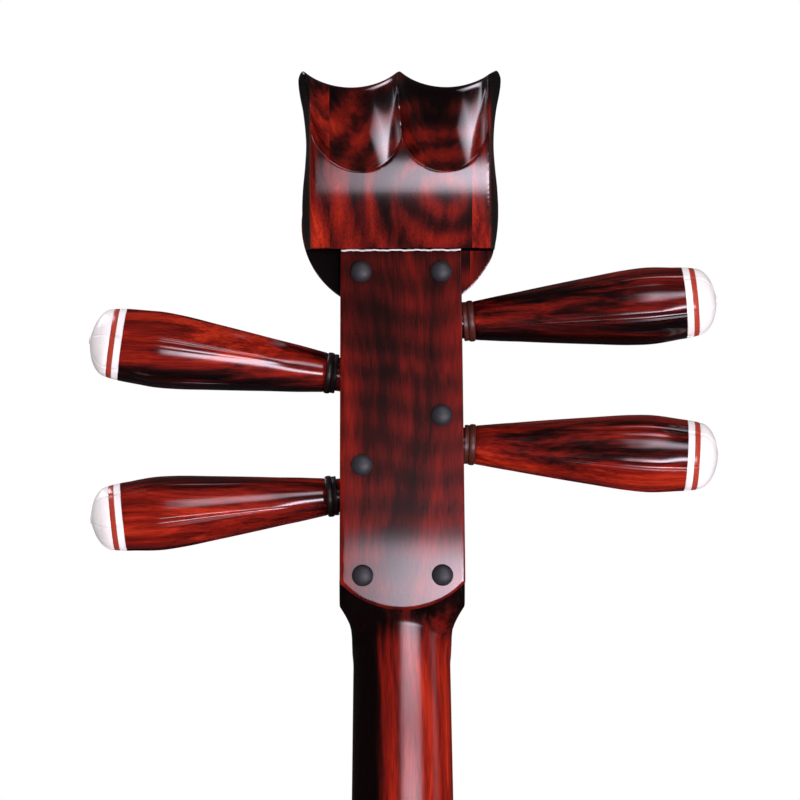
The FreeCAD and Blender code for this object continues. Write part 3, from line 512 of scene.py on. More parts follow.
@dataclass
class Peg(Assembly):
    """One tuning peg: grooved handle with its shank, collar, bone and red rings and a bone cap."""

    name: str = "peg_a"
    side: int = 1
    height: float = 37.4
    rise: float = -5.4
    turn: float = 12.6
    wood: Rosewood | None = None
    collar: Turned | None = None
    axis_y: float = -49.0
    foot_z: float = 600.0
    foot_half: float = 20.4
    top_half: float = 19.5
    box_length: float = 115.2
    shank: float = 5.5
    taper: float = 0.025
    stub: float = 6.4
    bead: float = 6.75
    stub_w: float = 1.3
    seat: float = 0.2
    collar_w: float = 3.5
    length: float = 66.3
    girth: float = 1.0
    swell: tuple[tuple[float, float], ...] = (
        (0.0, 6.2), (0.33, 9.1), (0.55, 10.8), (0.73, 12.1), (0.82, 12.4), (1.0, 11.4),
    )
    lobes: int = 6
    groove_half: float = 1.3
    groove_depth: float = 0.62
    flat: float = 0.32
    bone_w: float = 2.3
    red_w: float = 1.7
    step: float = 0.3
    cap_length: float = 6.5
    tip: float = 1.7
    tip_h: float = 0.55

    def __post_init__(self) -> None:
        """Work out where the peg sits."""
        self.body = self.name
        self.wall = self.foot_half + (self.top_half - self.foot_half) * self.height / self.box_length
        slope = math.radians(self.rise)
        self.offset = 0.35 + 6.1 * math.tan(abs(slope))
        self.start = self.offset + self.collar_w
        self.swell = tuple((share, radius * self.girth) for share, radius in self.swell)
        self.out = np.array([self.side * math.cos(slope), 0.0, math.sin(slope)])
        self.up = np.array([-self.side * math.sin(slope), 0.0, math.cos(slope)])
        self.root = np.array([0.0, self.axis_y, self.foot_z + self.height])
        self.root = self.root + self.out * self.wall / math.cos(slope)

    def build(self) -> None:
        """Make and dress every piece of the peg."""
        self.make_handle()
        self.make_collar()
        self.make_rings()
        self.make_cap()

    def rings(self, places: Any, radii: Any, half: Any, depth: Any, flat: Any = 0.0) -> np.ndarray:
        """Rings of points round the peg's axis, with lengthwise grooves.

        Args:
            places: distance of each ring from the wall, in millimetres.
            radii: radius of each ring.
            half: half width of the grooves at each ring.
            depth: depth of the grooves at each ring.
            flat: how flat the petals between the grooves are, from 0 (round) to 1.

        Returns:
            Points by ring, by place round it, by axis, in metres.
        """
        places, radii = np.asarray(places, float)[:, None], np.asarray(radii, float)[:, None]
        half = np.maximum(np.broadcast_to(half, places.shape[0])[:, None], 0.12)
        depth = np.broadcast_to(depth, places.shape[0])[:, None]
        inner = np.array([-1.25, -1.08, -1.0, -0.9, -0.68, -0.35, 0.0, 0.35, 0.68, 0.9, 1.0, 1.08, 1.25])
        outer = np.linspace(0.0, 1.0, 15)[1:-1]
        lobe = math.pi / self.lobes
        bend = np.minimum(half / np.maximum(radii, 0.05), lobe * 0.5)
        groove = bend * inner[None, :]
        field_ = bend * 1.25 + (2 * lobe - 2.5 * bend) * outer[None, :]
        cut = np.concatenate([depth * np.array([self.gouge(v) for v in inner])[None, :], field_ * 0], axis=1)
        sweep = np.concatenate([groove, field_], axis=1)
        angles = np.concatenate([sweep + 2 * lobe * k for k in range(self.lobes)], axis=1)
        angles = angles + math.radians(self.turn)
        petal = math.cos(lobe) / np.cos(np.minimum(np.abs(sweep - lobe), lobe))
        flat = np.broadcast_to(flat, places.shape[0])[:, None]
        reach = radii * np.tile(1 - flat * (1 - petal), (1, self.lobes)) - np.tile(cut, (1, self.lobes))
        toward = np.array([0.0, 1.0, 0.0])
        flat = np.cos(angles)[..., None] * toward + np.sin(angles)[..., None] * self.up
        return (self.root + places[..., None] * self.out + reach[..., None] * flat) * MM

    @staticmethod
    def gouge(across: float) -> float:
        """Depth share of a round gouge's cut, its rims just broken."""
        if abs(across) < 1:
            return 1 - across * across * 0.92
        return max(0.0, 0.04 * (1.25 - abs(across)) / 0.25)

    def lathe(self, name: str, profile: Sequence[tuple[float, float]], finish: Any, half: Any = 0.12,
              depth: Any = 0.0, angle: float = 40.0, flat: Any = 0.0) -> bpy.types.Object:
        """Turn one piece from (distance, radius) points."""
        places, radii = zip(*profile)
        rings = self.rings(places, radii, half, depth, flat)
        piece = skin(f"{self.name}_{name}_piece", rings, self.palette.get(finish))
        return crisp(piece, angle)

    def make_handle(self) -> None:
        """Handle and shank in one, its grooves sinking in along the swell."""
        far = -2 * self.wall / math.cos(math.radians(self.rise)) + 0.6
        shank = [(x, self.shank + self.taper * x) for x in np.linspace(far + 0.4, 0.0, 12)]
        shank = [(far, shank[0][1] - 0.4), *shank, (self.start - 0.02, self.shank)]
        share = np.concatenate([[0.0, 0.004], np.linspace(0.02, 0.985, 120), [0.994, 1.0]])
        radii = flow(self.swell, share)
        radii[0] -= 0.25
        profile = shank + list(zip(self.start + share * self.length, radii))
        sink = smooth(0.12, 0.7, share)
        none = np.zeros(len(shank))
        spread = self.groove_half * (0.25 + 0.75 * smooth(0.1, 0.85, share)) * (share > 0.1)
        half = np.concatenate([none, spread])
        depth = np.concatenate([none, self.groove_depth * sink])
        flat = self.flat * smooth(0.1, 0.3, share) * (1 - smooth(0.86, 1.0, share))
        piece = self.lathe("handle", profile, self.wood, half, depth, 50.0, np.concatenate([none, flat]))
        self.add(piece, "rosewood_red", self.name + "_handle")

    def make_collar(self) -> None:
        """Collar: a narrow stub at the wall and a round bead against the handle."""
        a, bead = self.offset, self.bead
        bulge = [(a + self.stub_w + 1.1 - 1.05 * math.cos(t), bead - 0.4 + 0.4 * math.sin(t))
                 for t in np.linspace(0.1, math.pi - 0.1, 14)]
        near = a - self.seat
        profile = [(near, self.shank), (near, self.stub - 0.2), (near + 0.2, self.stub),
                   (a + self.stub_w - 0.25, self.stub), (a + self.stub_w - 0.05, self.stub - 0.15), *bulge,
                   (self.start, bead - 0.5), (self.start, self.shank)]
        self.add(self.lathe("collar", profile, self.collar), "collar_horn", self.name + "_collar")

    def make_rings(self) -> None:
        """Bone ring and red ring, each a hair smaller than the last."""
        a = self.start + self.length
        b, c = a + self.bone_w, a + self.bone_w + self.red_w
        r = self.swell[-1][1]
        for name, x0, x1, r0, r1, finish, slot in (
            ("bone_ring", a, b, r - 0.05, r - self.step, BONE, "bone"),
            ("red_ring", b, c, r - self.step - 0.04, r - 2 * self.step, RED_RING, "red_ring"),
        ):
            profile = [(x0, r0 - 1.0), (x0 + 0.03, r0 - 0.12), (x0 + 0.14, r0), (x1 - 0.14, r1 + 0.02),
                       (x1 - 0.03, r1 - 0.1), (x1, r1 - 1.0)]
            ring = self.lathe(name, profile, finish, 0.75, self.groove_depth * 0.65)
            self.add(ring, slot, f"{self.name}_{name}")

    def make_cap(self) -> None:
        """Bone cap: a petalled dome whose creases run to a small button."""
        c = self.start + self.length + self.bone_w + self.red_w
        rim = self.swell[-1][1] - 2 * self.step - 0.05
        dome = ((0.0, rim), (0.24, rim * 0.965), (0.5, rim * 0.855), (0.73, rim * 0.67), (0.9, rim * 0.43),
                (1.0, self.tip + 0.3))
        share = np.sin(np.linspace(0.0, math.pi / 2, 44))
        body = [(c + s * self.cap_length, float(r)) for s, r in zip(share, flow(dome, share))]
        body = [(c, rim - 1.0), (c + 0.03, rim - 0.12)] + body[1:]
        top = c + self.cap_length
        button = [(top - 0.05, self.tip * 0.98), (top - 0.12, self.tip * 0.86), (top, self.tip * 0.84),
                  (top + self.tip_h * 0.55, self.tip * 0.74), (top + self.tip_h * 0.9, self.tip * 0.45),
                  (top + self.tip_h, self.tip * 0.12)]
        places = np.array([p for p, _ in body + button])
        fade = 1 - smooth(c + self.cap_length * 0.8, top - 0.1, places)
        piece = self.lathe("cap", body + button, BONE, 0.42 * fade, 0.3 * fade, 60.0)
        self.add(piece, "bone", self.name + "_cap")


Field = Callable[[np.ndarray, np.ndarray, np.ndarray], np.ndarray]


def crossings(values: np.ndarray, cells: np.ndarray) -> np.ndarray:
    """Middle of the points where a surface crosses the edges of each cell, in cells."""
    total, hits = np.zeros((len(cells), 3)), np.zeros(len(cells))
    corners = [(i, j, k) for i in (0, 1) for j in (0, 1) for k in (0, 1)]
    for a in corners:
        for axis in range(3):
            if a[axis] == 1:
                continue
            b = tuple(v + (n == axis) for n, v in enumerate(a))
            va, vb = values[tuple((cells + a).T)], values[tuple((cells + b).T)]
            cross = (va < 0) != (vb < 0)
            share = np.where(cross, va / np.where(cross, va - vb, 1.0), 0.0)
            total += (np.array(a, float) + np.eye(3)[axis] * share[:, None]) * cross[:, None]
            hits += cross
    return cells + total / hits[:, None]


def facets(inside: np.ndarray, number: np.ndarray) -> np.ndarray:
    """Four point numbers of each face between an inner and an outer corner of the grid."""
    found = []
    for axis in range(3):
        u, v = [n for n in range(3) if n != axis]
        ahead = np.moveaxis(inside, axis, 0)
        at = np.argwhere(np.moveaxis(ahead[:-1] != ahead[1:], 0, axis))
        at = at[(at[:, u] > 0) & (at[:, v] > 0) & (at[:, u] < number.shape[u]) & (at[:, v] < number.shape[v])]
        ring = []
        for du, dv in ((-1, -1), (0, -1), (0, 0), (-1, 0)):
            shift = at.copy()
            shift[:, u] += du
            shift[:, v] += dv
            ring.append(number[tuple(shift.T)])
        found.append(np.stack(ring, axis=1))
    return np.concatenate(found)


def carve(name: str, shape: Field, low: Sequence[float], high: Sequence[float], step: float,
          material: bpy.types.Material, rubs: int = 2,
          still: tuple[float, float] = (0.0, 0.0)) -> bpy.types.Object:
    """Skin a carved shape given as signed distance, with one point in each cell its surface crosses.

    Args:
        name: the piece's name.
        shape: distance in millimetres at x, y, z; negative is inside.
        low: lowest corner of the block it is carved from, in millimetres.
        high: highest corner.
        step: cell size in millimetres.
        material: the piece's finish.
        rubs: how many times the skin is evened out.
        still: heights between which it isn't.

    Returns:
        The new object, in metres.
    """
    axes = [np.arange(a - 1.5 * step, b + 2.5 * step, step) for a, b in zip(low, high)]
    x, y, z = np.meshgrid(*axes, indexing="ij", sparse=True)
    values = np.array(np.broadcast_to(shape(x, y, z), [len(a) for a in axes]))
    inside = values < 0
    size = [n - 1 for n in inside.shape]
    count = np.zeros(size, np.int8)
    for i, j, k in np.ndindex(2, 2, 2):
        count += inside[i : i + size[0], j : j + size[1], k : k + size[2]]
    cells = np.argwhere((count > 0) & (count < 8))
    number = np.full(size, -1, np.int64)
    number[tuple(cells.T)] = np.arange(len(cells))
    points = (np.array([a[0] for a in axes]) + crossings(values, cells) * step) * MM
    piece = solid(name, points.tolist(), facets(inside, number).tolist(), material)
    work = bmesh.new()
    work.from_mesh(piece.data)
    loose = [v for v in work.verts if not still[0] * MM < v.co.z < still[1] * MM]
    for _ in range(rubs):
        bmesh.ops.smooth_vert(work, verts=loose, factor=0.5, use_axis_x=True, use_axis_y=True,
                              use_axis_z=True)
    work.to_mesh(piece.data)
    work.free()
    return piece


def soft_max(a: Any, b: Any, width: float) -> np.ndarray:
    """Larger of two distances, blended over a width, which rounds the edge between them."""
    h = np.clip(0.5 + 0.5 * (a - b) / width, 0.0, 1.0)
    return b + (a - b) * h + width * h * (1 - h)


def bent(low: tuple[float, float], through: tuple[float, float],
         high: tuple[float, float]) -> tuple[float, float, float]:
    """Middle and radius of the circle through three points."""
    rows = np.array([low, through, high], float)
    u, v, rest = np.linalg.solve(np.column_stack([2 * rows, np.ones(3)]), (rows**2).sum(axis=1))
    return float(u), float(v), math.sqrt(rest + u * u + v * v)


@dataclass
class Head(Assembly):
    """Carved head: a middle block and two cheeks with one rolled back, two scoops and three rounded tips."""

    wood: Rosewood | None = None
    cheeks: tuple[Rosewood, ...] = ()
    ledge_z: float = 715.2
    height: float = 58.2
    wing_drop: float = 14.6
    wing_depth: float = 13.0
    front_y: float = -62.0
    back_y: float = -20.5
    cover_y: float = -32.0
    roll: float = 6.5
    edge_half: float = 29.0
    joint_half: float = 22.9
    box_half: float = 19.6
    tip_half: float = 31.3
    scoops: tuple[tuple[float, float, float], ...] = ((12.9, 0.1, 15.3), (-14.2, 0.02, 14.3))
    scoop_foot: float = 34.0
    scoop_fall: float = 1.38
    scoop_ease: float = 0.0152
    arch: float = 4.7
    crown: float = 0.5
    step: float = 0.33
    roll_knots: tuple[tuple[float, float], ...] = (
        (-1.0, -27.9), (0.0, -27.6), (8.5, -25.0), (18.0, -22.55), (24.8, -21.35), (31.2, -20.69),
        (36.8, -20.5), (43.4, -21.1), (52.0, -24.3), (60.0, -30.4),
    )
    outline: tuple[tuple[float, float], ...] = (
        (-15.5, 18.0), (-14.6, 19.6), (-12.6, 22.3), (-9.5, 25.3), (-6.0, 27.8), (-2.8, 29.7), (3.0, 31.1),
        (9.0, 31.8), (13.4, 31.9), (20.0, 31.6), (27.0, 30.9), (33.8, 30.5), (40.0, 30.75), (46.0, 31.5),
        (50.5, 32.4), (53.5, 32.85), (56.5, 32.9), (60.0, 32.4),
    )

    def build(self) -> None:
        """Make and dress the carving as three glued pieces."""
        low = (-34.0, self.front_y, self.ledge_z - self.wing_drop)
        high = (34.0, self.back_y + 1, self.ledge_z + self.height)
        whole = carve("head_carving", self.shape, low, high, self.step, self.palette.get(self.wood), 3,
                      (self.ledge_z - self.wing_drop - 1.0, self.ledge_z + 0.25))
        joint = self.joint_half * MM
        for name, sides, finish in (("head_core", ((joint, 1), (-joint, -1)), self.wood),
                                    ("head_cheek_bass", ((joint, -1),), self.cheeks[0]),
                                    ("head_cheek_treble", ((-joint, 1),), self.cheeks[1])):
            piece = self.sawn(whole, name + "_piece", sides)
            piece.data.materials[0] = self.palette.get(finish)
            piece.data.materials.append(self.palette.get(PAINTED_SHADE_UNDER_LEDGE))
            piece.data.materials.append(self.palette.get(self.cheeks[0]))
            # Faces pointing down just under the ledge take the painted shade; core faces below the ledge on
            # the bass side take the bass cheek's wood, darker below the ledge.
            for face in piece.data.polygons:
                if face.normal.z < -0.6 and abs(face.center.z / MM - self.ledge_z) < 1.0:
                    face.material_index = 1
                elif face.center.z < self.ledge_z * MM and face.center.x > 0:
                    face.material_index = 2
            crisp(piece, 30.0)
            for face in piece.data.polygons:
                face.use_smooth = face.center.z > (self.ledge_z + 0.05) * MM
            self.add(piece, "rosewood_red", name)
        bpy.data.objects.remove(whole)

    @staticmethod
    def sawn(whole: bpy.types.Object, name: str, sides: Iterable[tuple[float, int]]) -> bpy.types.Object:
        """Copy of a piece, sawn off beyond each place across it."""
        piece = whole.copy()
        piece.data = whole.data.copy()
        piece.name = name
        work = bmesh.new()
        work.from_mesh(piece.data)
        for place, way in sides:
            found = bmesh.ops.bisect_plane(work, geom=work.verts[:] + work.edges[:] + work.faces[:],
                                           dist=1e-7, plane_co=(place, 0, 0), plane_no=(way, 0, 0),
                                           clear_outer=True)
            edges = [e for e in found["geom_cut"] if isinstance(e, bmesh.types.BMEdge)]
            bmesh.ops.holes_fill(work, edges=edges, sides=0)
        work.to_mesh(piece.data)
        work.free()
        bpy.context.scene.collection.objects.link(piece)
        return piece

    def top(self, x: np.ndarray) -> np.ndarray:
        """Height of the top edge: two hollow arcs between three rounded tips."""
        half = self.tip_half / 2
        radius = (half**2 + self.arch**2) / (2 * self.arch)
        across = np.clip(np.abs(np.abs(x) - half), 0.0, half)
        hollow = radius - np.sqrt(radius**2 - across**2)
        horn = 3.4 * smooth(self.tip_half + 0.2, self.tip_half + 3.0, np.abs(x))
        proud = 0.05 * smooth(half - 4.0, half, np.abs(np.abs(x) - half))
        return self.ledge_z + self.height - self.arch + hollow + proud - horn

    def rolled(self, z: np.ndarray) -> np.ndarray:
        """Depth of the rolled back at a height, before it is scooped."""
        return flow(self.roll_knots, z - self.ledge_z)

    def scoop(self, size: tuple[float, float, float], x: np.ndarray, y: np.ndarray,
              z: np.ndarray) -> np.ndarray:
        """Distance into one spoon-shaped gouge, steep at its foot and easing as it rises."""
        middle, drift, radius = size
        rise = z - (self.ledge_z + self.height - self.scoop_foot)
        fall = self.scoop_fall - 2 * self.scoop_ease * np.clip(rise, -6.0, 40.0)
        floor = self.back_y - 0.4 - self.scoop_fall * rise + self.scoop_ease * rise * np.abs(rise)
        away = (y - floor) / np.sqrt(1 + fall**2) - radius
        return radius - np.sqrt(np.minimum(away, 0.0) ** 2 + (x - middle - drift * rise) ** 2)

    def shape(self, x: np.ndarray, y: np.ndarray, z: np.ndarray) -> np.ndarray:
        """Signed distance of the whole carving."""
        half = flow(self.outline, z - self.ledge_z)
        waist = np.minimum(half - 1.0, self.edge_half)
        lean_y = self.front_y + (self.back_y - self.front_y) * 0.45
        rim_y = self.back_y - 2 * self.roll
        share = np.clip((y - lean_y) / (rim_y - lean_y), 0.0, 1.0)
        side = np.abs(x) - (half + (waist - half) * share)
        swollen = self.crown * (x / self.edge_half) ** 2
        slope = self.rolled(z + 0.5) - self.rolled(z - 0.5)
        back = (y + swollen - self.rolled(z)) / np.sqrt(1 + slope**2)
        body = soft_max(back, side, np.where(z < self.ledge_z - 0.4, 0.4, 1.1))
        for size in self.scoops:
            body = soft_max(body, self.scoop(size, x, y, z), 0.2)
        tip = smooth(self.tip_half / 2 - 5.0, self.tip_half / 2, np.abs(np.abs(x) - self.tip_half / 2))
        body = soft_max(body, (z - self.top(x)) * 0.96, 2.6 - 1.5 * tip)
        wing_y = self.front_y + self.wing_depth - 1.2
        under = np.minimum(self.ledge_z - z, y - wing_y)
        body = np.maximum(body, under)
        body = np.maximum(body, self.front_y - y)
        body = np.maximum(body, self.ledge_z - self.wing_drop - z)
        slot = np.maximum(np.maximum(np.abs(x) - self.box_half, y - self.cover_y), z - self.ledge_z)
        return np.maximum(body, 0.02 - slot)


def cover_plan(x: np.ndarray, z: np.ndarray) -> np.ndarray:
    """Distance from the outline of the pegbox cover, whose foot is round, in millimetres."""
    half = 20.4 - 0.9 * (z - 600.0) / 115.2
    mid_x, mid_z, radius = bent((-20.4, 607.6), (0.0, 598.6), (20.4, 607.6))
    foot = np.where(z > mid_z, -99.0, np.sqrt((x - mid_x) ** 2 + (z - mid_z) ** 2) - radius)
    return np.maximum(np.abs(x) - half, foot)


@dataclass
class Neck(Assembly):
    """Neck with its heel and flowing shoulders, in one piece with the pegbox."""

    wood: Rosewood | None = None
    body_r: float = 210.0
    nut_z: float = 590.0
    board_y: float = -60.0
    box_front_y: float = -62.0
    box_back_y: float = -36.0
    half_top: float = 15.7
    half_body: float = 22.2
    depth: float = 17.0
    swell: float = 4.0
    side: float = 3.0
    heel: float = 26.0
    heel_reach: float = 34.0
    seam_z: float = 524.0
    box_z: float = 607.8
    slot_half: float = 10.0
    slot_z: float = 606.0
    step: float = 0.36
    volute: float = 0.0007
    volute_z: float = 560.0
    shoulder: tuple[tuple[float, float], ...] = (
        (576.0, 15.0), (580.0, 15.5), (585.0, 15.75), (588.7, 16.0), (591.0, 16.4), (593.5, 17.2),
        (596.0, 18.35), (598.3, 19.7), (599.4, 20.36), (600.4, 20.4),
    )
    fall: tuple[tuple[float, float], ...] = (
        (572.0, -63.0), (580.0, -60.0), (584.0, -56.0), (588.0, -51.0), (592.0, -46.6), (596.0, -43.0),
        (600.0, -40.6), (604.0, -39.0), (608.0, -38.2),
    )

    def build(self) -> None:
        """Make the shaft, the shoulders and the pegbox as one piece."""
        low = np.concatenate([[self.body_r - 5.0], np.linspace(self.body_r - 4.0, self.body_r + 90.0, 60)])
        heights = np.concatenate([low, np.linspace(self.body_r + 95.0, self.seam_z, 40)])
        rings = np.array([self.section(float(z)) for z in heights]) * MM
        neck = skin("neck_piece", rings, self.palette.get(self.wood))
        shoulders = carve("neck_shoulders", self.shape, (-20.6, self.box_front_y, self.seam_z),
                          (20.6, self.box_back_y, self.box_z), self.step, self.palette.get(self.wood), 3)
        work = bmesh.new()
        work.from_mesh(neck.data)
        for part in (shoulders, self.pegbox()):
            work.from_mesh(part.data)
            bpy.data.objects.remove(part)
        work.to_mesh(neck.data)
        work.free()
        self.add(crisp(neck, 32.0), "rosewood_red", "neck")

    def sizes(self, z: Any) -> tuple[Any, Any, Any]:
        """Half width, flank depth and back depth of the D-shaped neck at a height."""
        share = (self.nut_z - z) / (self.nut_z - self.body_r)
        heel = self.heel * np.exp(-(np.maximum(0.0, (z - self.body_r) / self.heel_reach) ** 2))
        half = self.half_top + share * (self.half_body - self.half_top)
        flank = self.board_y + self.side + heel * 0.72
        return half, flank, self.board_y + self.depth + self.swell * share + heel

    def section(self, z: float) -> np.ndarray:
        """Points round the neck at a height, in millimetres."""
        half, flank, back = (float(v) for v in self.sizes(z))
        angle = np.linspace(0.0, math.pi, 65)
        rise = np.linspace(self.board_y, flank, 6)[:-1]
        points = [(half, v) for v in rise]
        points += list(zip(half * np.cos(angle), flank + (back - flank) * np.sin(angle)))
        points += [(-half, v) for v in rise[::-1]]
        return np.array([(a, b, z) for a, b in points])

    def shape(self, x: np.ndarray, y: np.ndarray, z: np.ndarray) -> np.ndarray:
        """Signed distance of the upper neck: its shaft, the shoulders and the cover's seat."""
        half, flank, back = self.sizes(z)
        back = back + self.volute * np.maximum(z - self.volute_z, 0.0) ** 2
        deep = back - flank
        round_back = np.sqrt((x / half) ** 2 + (np.maximum(y - flank, 0.0) / deep) ** 2)
        bow = (round_back - 1) * np.minimum(half, deep)
        shaft = np.maximum(bow, z - 603.0)
        wide = np.interp(z, *np.array(self.shoulder).T)
        crest = flow(self.fall, z)
        block = soft_max(np.abs(x) - wide, (y - crest) * 0.75, 3.0)
        wood = -soft_max(-shaft, -block, 2.0)
        seat = np.maximum(y - self.box_back_y, cover_plan(x, z) + 0.3)
        wood = -soft_max(-wood, -seat, 0.6)
        front = np.where(z > self.nut_z + 5.0, self.box_front_y, self.board_y)
        wood = np.maximum(np.maximum(wood, front - y), np.maximum(self.seam_z - z, z - self.box_z))
        slot = np.maximum(np.abs(x) - self.slot_half, self.slot_z - z)
        return np.maximum(wood, -slot)

    def pegbox(self) -> bpy.types.Object:
        """Copy of the constructed pegbox, cut off where the shoulders begin."""
        node = bpy.data.objects["neck"]
        piece = node.copy()
        piece.data = node.data.copy()
        work = bmesh.new()
        work.from_mesh(piece.data)
        work.transform(node.matrix_world)
        bmesh.ops.remove_doubles(work, verts=work.verts, dist=1e-6)
        found = bmesh.ops.bisect_plane(work, geom=work.verts[:] + work.edges[:] + work.faces[:],
                                       dist=1e-6, plane_co=(0, 0, self.box_z * MM), plane_no=(0, 0, -1),
                                       clear_outer=True)
        edges = [e for e in found["geom_cut"] if isinstance(e, bmesh.types.BMEdge)]
        bmesh.ops.holes_fill(work, edges=edges, sides=0)
        work.to_mesh(piece.data)
        work.free()
        return piece


@dataclass
class Cover(Assembly):
    """Back cover of the pegbox: a thin plate with a round foot, held by six screws under dome caps."""

    wood: Rosewood | None = None
    back_y: float = -36.0
    thickness: float = 4.0
    foot_z: float = 600.0
    ledge_z: float = 715.2
    foot_half: float = 20.4
    top_half: float = 19.5
    foot_past: float = 1.4
    foot_rise: float = 9.0
    edge: float = 0.55
    crown: float = 0.3
    foot_fall: float = 0.66
    fall_run: float = 20.0
    step: float = 0.3
    cap_r: float = 3.45
    cap_h: float = 2.1
    screws: tuple[tuple[float, float], ...] = ((12.9, 708.0), (-12.9, 708.0), (12.9, 609.9), (-12.9, 609.9),
                                               (12.9, 645.6), (-12.9, 661.6))

    def build(self) -> None:
        """Make the plate and its caps."""
        low = (-self.foot_half, self.back_y, self.foot_z - self.foot_past)
        high = (self.foot_half, self.back_y + self.thickness, self.ledge_z)
        plate = carve("pegbox_cover_piece", self.shape, low, high, self.step, self.palette.get(self.wood))
        self.add(crisp(plate, 50.0), "rosewood_red", "pegbox_cover")
        self.make_seam_line()
        work = bmesh.new()
        for x, z in self.screws:
            self.cap(work, x, z)
        mesh = bpy.data.meshes.new("screw_caps_piece")
        work.to_mesh(mesh)
        work.free()
        mesh.materials.append(self.palette.get(CAP_STUFF))
        caps = bpy.data.objects.new("screw_caps_piece", mesh)
        bpy.context.scene.collection.objects.link(caps)
        self.add(crisp(caps, 60.0), "cap_rubber", "screw_caps")

    def shape(self, x: np.ndarray, y: np.ndarray, z: np.ndarray) -> np.ndarray:
        """Signed distance of the plate."""
        plan = cover_plan(x, z)
        rise = self.foot_z + self.foot_rise - self.foot_past
        sanded = self.crown * (x / self.foot_half) ** 2
        sanded = sanded + self.foot_fall * np.clip(1 - (z - rise) / self.fall_run, 0, 2) ** 2
        back = (y - self.back_y - self.thickness) + sanded
        body = soft_max(plan, back, self.edge * 1.6)
        body = soft_max(body, z - self.ledge_z + 0.15, 0.5)
        return np.maximum(body, self.back_y + 0.01 - y)

    def make_seam_line(self) -> None:
        """Hairline of pale bone-white bead along the seam between the plate and the head."""
        y, z, r = self.back_y + self.thickness - 0.2, self.ledge_z - 0.3, 0.34
        across = np.linspace(-self.top_half + 0.2, self.top_half - 0.2, 60)
        wave = 0.1 * np.sin(across * 0.9) + 0.07 * np.sin(across * 2.3 + 1)
        around = np.linspace(0, 2 * math.pi, 9)[:-1]
        rings = [[(x, y + r * (1 + w) * math.cos(a), z + w + r * math.sin(a)) for a in around]
                 for x, w in zip(across, wave)]
        piece = skin("pale_seam_line", np.array(rings) * MM, self.palette.get(BONE))
        self.add(piece, "bone")

    def cap(self, work: bmesh.types.BMesh, x: float, z: float) -> None:
        """Add one dome cap with a small rim to a mesh."""
        y0, r, h = self.back_y + self.thickness - 0.15, self.cap_r, self.cap_h
        rim = 0.5
        arcs = [(r, 0.0), (r, rim)]
        arcs += [(r * math.cos(t) * 0.985, rim + (h + 0.15 - rim) * math.sin(t))
                 for t in np.linspace(0.06, math.pi / 2, 12)]
        rows = []
        for radius, rise in arcs:
            turn = [2 * math.pi * i / 48 for i in range(48)]
            rows.append([work.verts.new(((x + radius * math.cos(a)) * MM, (y0 + rise) * MM,
                                         (z + radius * math.sin(a)) * MM)) for a in turn])
        for a, b in zip(rows, rows[1:]):
            for i in range(48):
                work.faces.new((a[i], b[i], b[(i + 1) % 48], a[(i + 1) % 48]))
        bmesh.ops.remove_doubles(work, verts=rows[-1], dist=1e-6)


def torus(name: str, middle: Sequence[float], radius: float, wire: float, material: bpy.types.Material,
          around: int = 96) -> bpy.types.Object:
    """Ring of round wire lying flat on the front or back.

    Args:
        name: the piece's name.
        middle: centre in millimetres.
        radius: radius of the ring.
        wire: radius of its section.
        material: the piece's finish.
        around: number of steps round the ring.

    Returns:
        The new object.
    """
    rings = []
    for i in range(around + 1):
        a = 2 * math.pi * i / around
        out = np.array([math.cos(a), 0.0, math.sin(a)])
        section = [np.array(middle) + out * (radius + wire * math.cos(t))
                   + np.array([0.0, wire * math.sin(t), 0.0]) for t in np.linspace(0, 2 * math.pi, 9)[:-1]]
        rings.append(section)
    return skin(name, np.array(rings) * MM, material)


def cord(name: str, path: Sequence[Sequence[float]], wire: float,
         material: bpy.types.Material) -> bpy.types.Object:
    """Round cord along a path that stays in one upright plane.

    Args:
        name: the piece's name.
        path: points in millimetres, all with the same first coordinate.
        wire: radius of the cord.
        material: the piece's finish.

    Returns:
        The new object.
    """
    points = np.array(path, float)
    along = np.gradient(points, axis=0)
    along /= np.linalg.norm(along, axis=1)[:, None]
    side = np.array([1.0, 0.0, 0.0])
    across = np.cross(along, side)
    turn = np.linspace(0, 2 * math.pi, 13)[:-1]
    rings = points[:, None, :] + wire * (np.cos(turn)[None, :, None] * side
                                         + np.sin(turn)[None, :, None] * across[:, None, :])
    return skin(name, rings * MM, material)


@dataclass
class Soundbox(Assembly):
    """Inlaid lines and fittings of the round box that the plain boards don't have."""

    radius: float = 210.0
    front_y: float = -60.0
    inset: float = 4.0
    line_r: float = 0.45
    hole_x: float = 98.0
    hole_z: float = 48.0
    hole_lines: tuple[tuple[float, str], ...] = ((24.6, "bone"), (27.2, "rosewood_dark"), (28.6, "bone"))

    def build(self) -> None:
        """Inlay a line inside the binding and lines round each sound hole."""
        finishes = {"bone": self.palette.get(BONE), "rosewood_dark": self.palette.get(DARK_WOOD)}
        sunk = self.front_y + self.line_r * 0.65
        edge = torus("edge_line", (0.0, sunk, 0.0), self.radius - self.inset, self.line_r, finishes["bone"],
                     256)
        self.add(edge, "bone")
        for side in (1, -1):
            for ring, slot in self.hole_lines:
                middle = (side * self.hole_x, sunk, self.hole_z)
                self.add(torus("hole_line", middle, ring, self.line_r, finishes[slot]), slot)


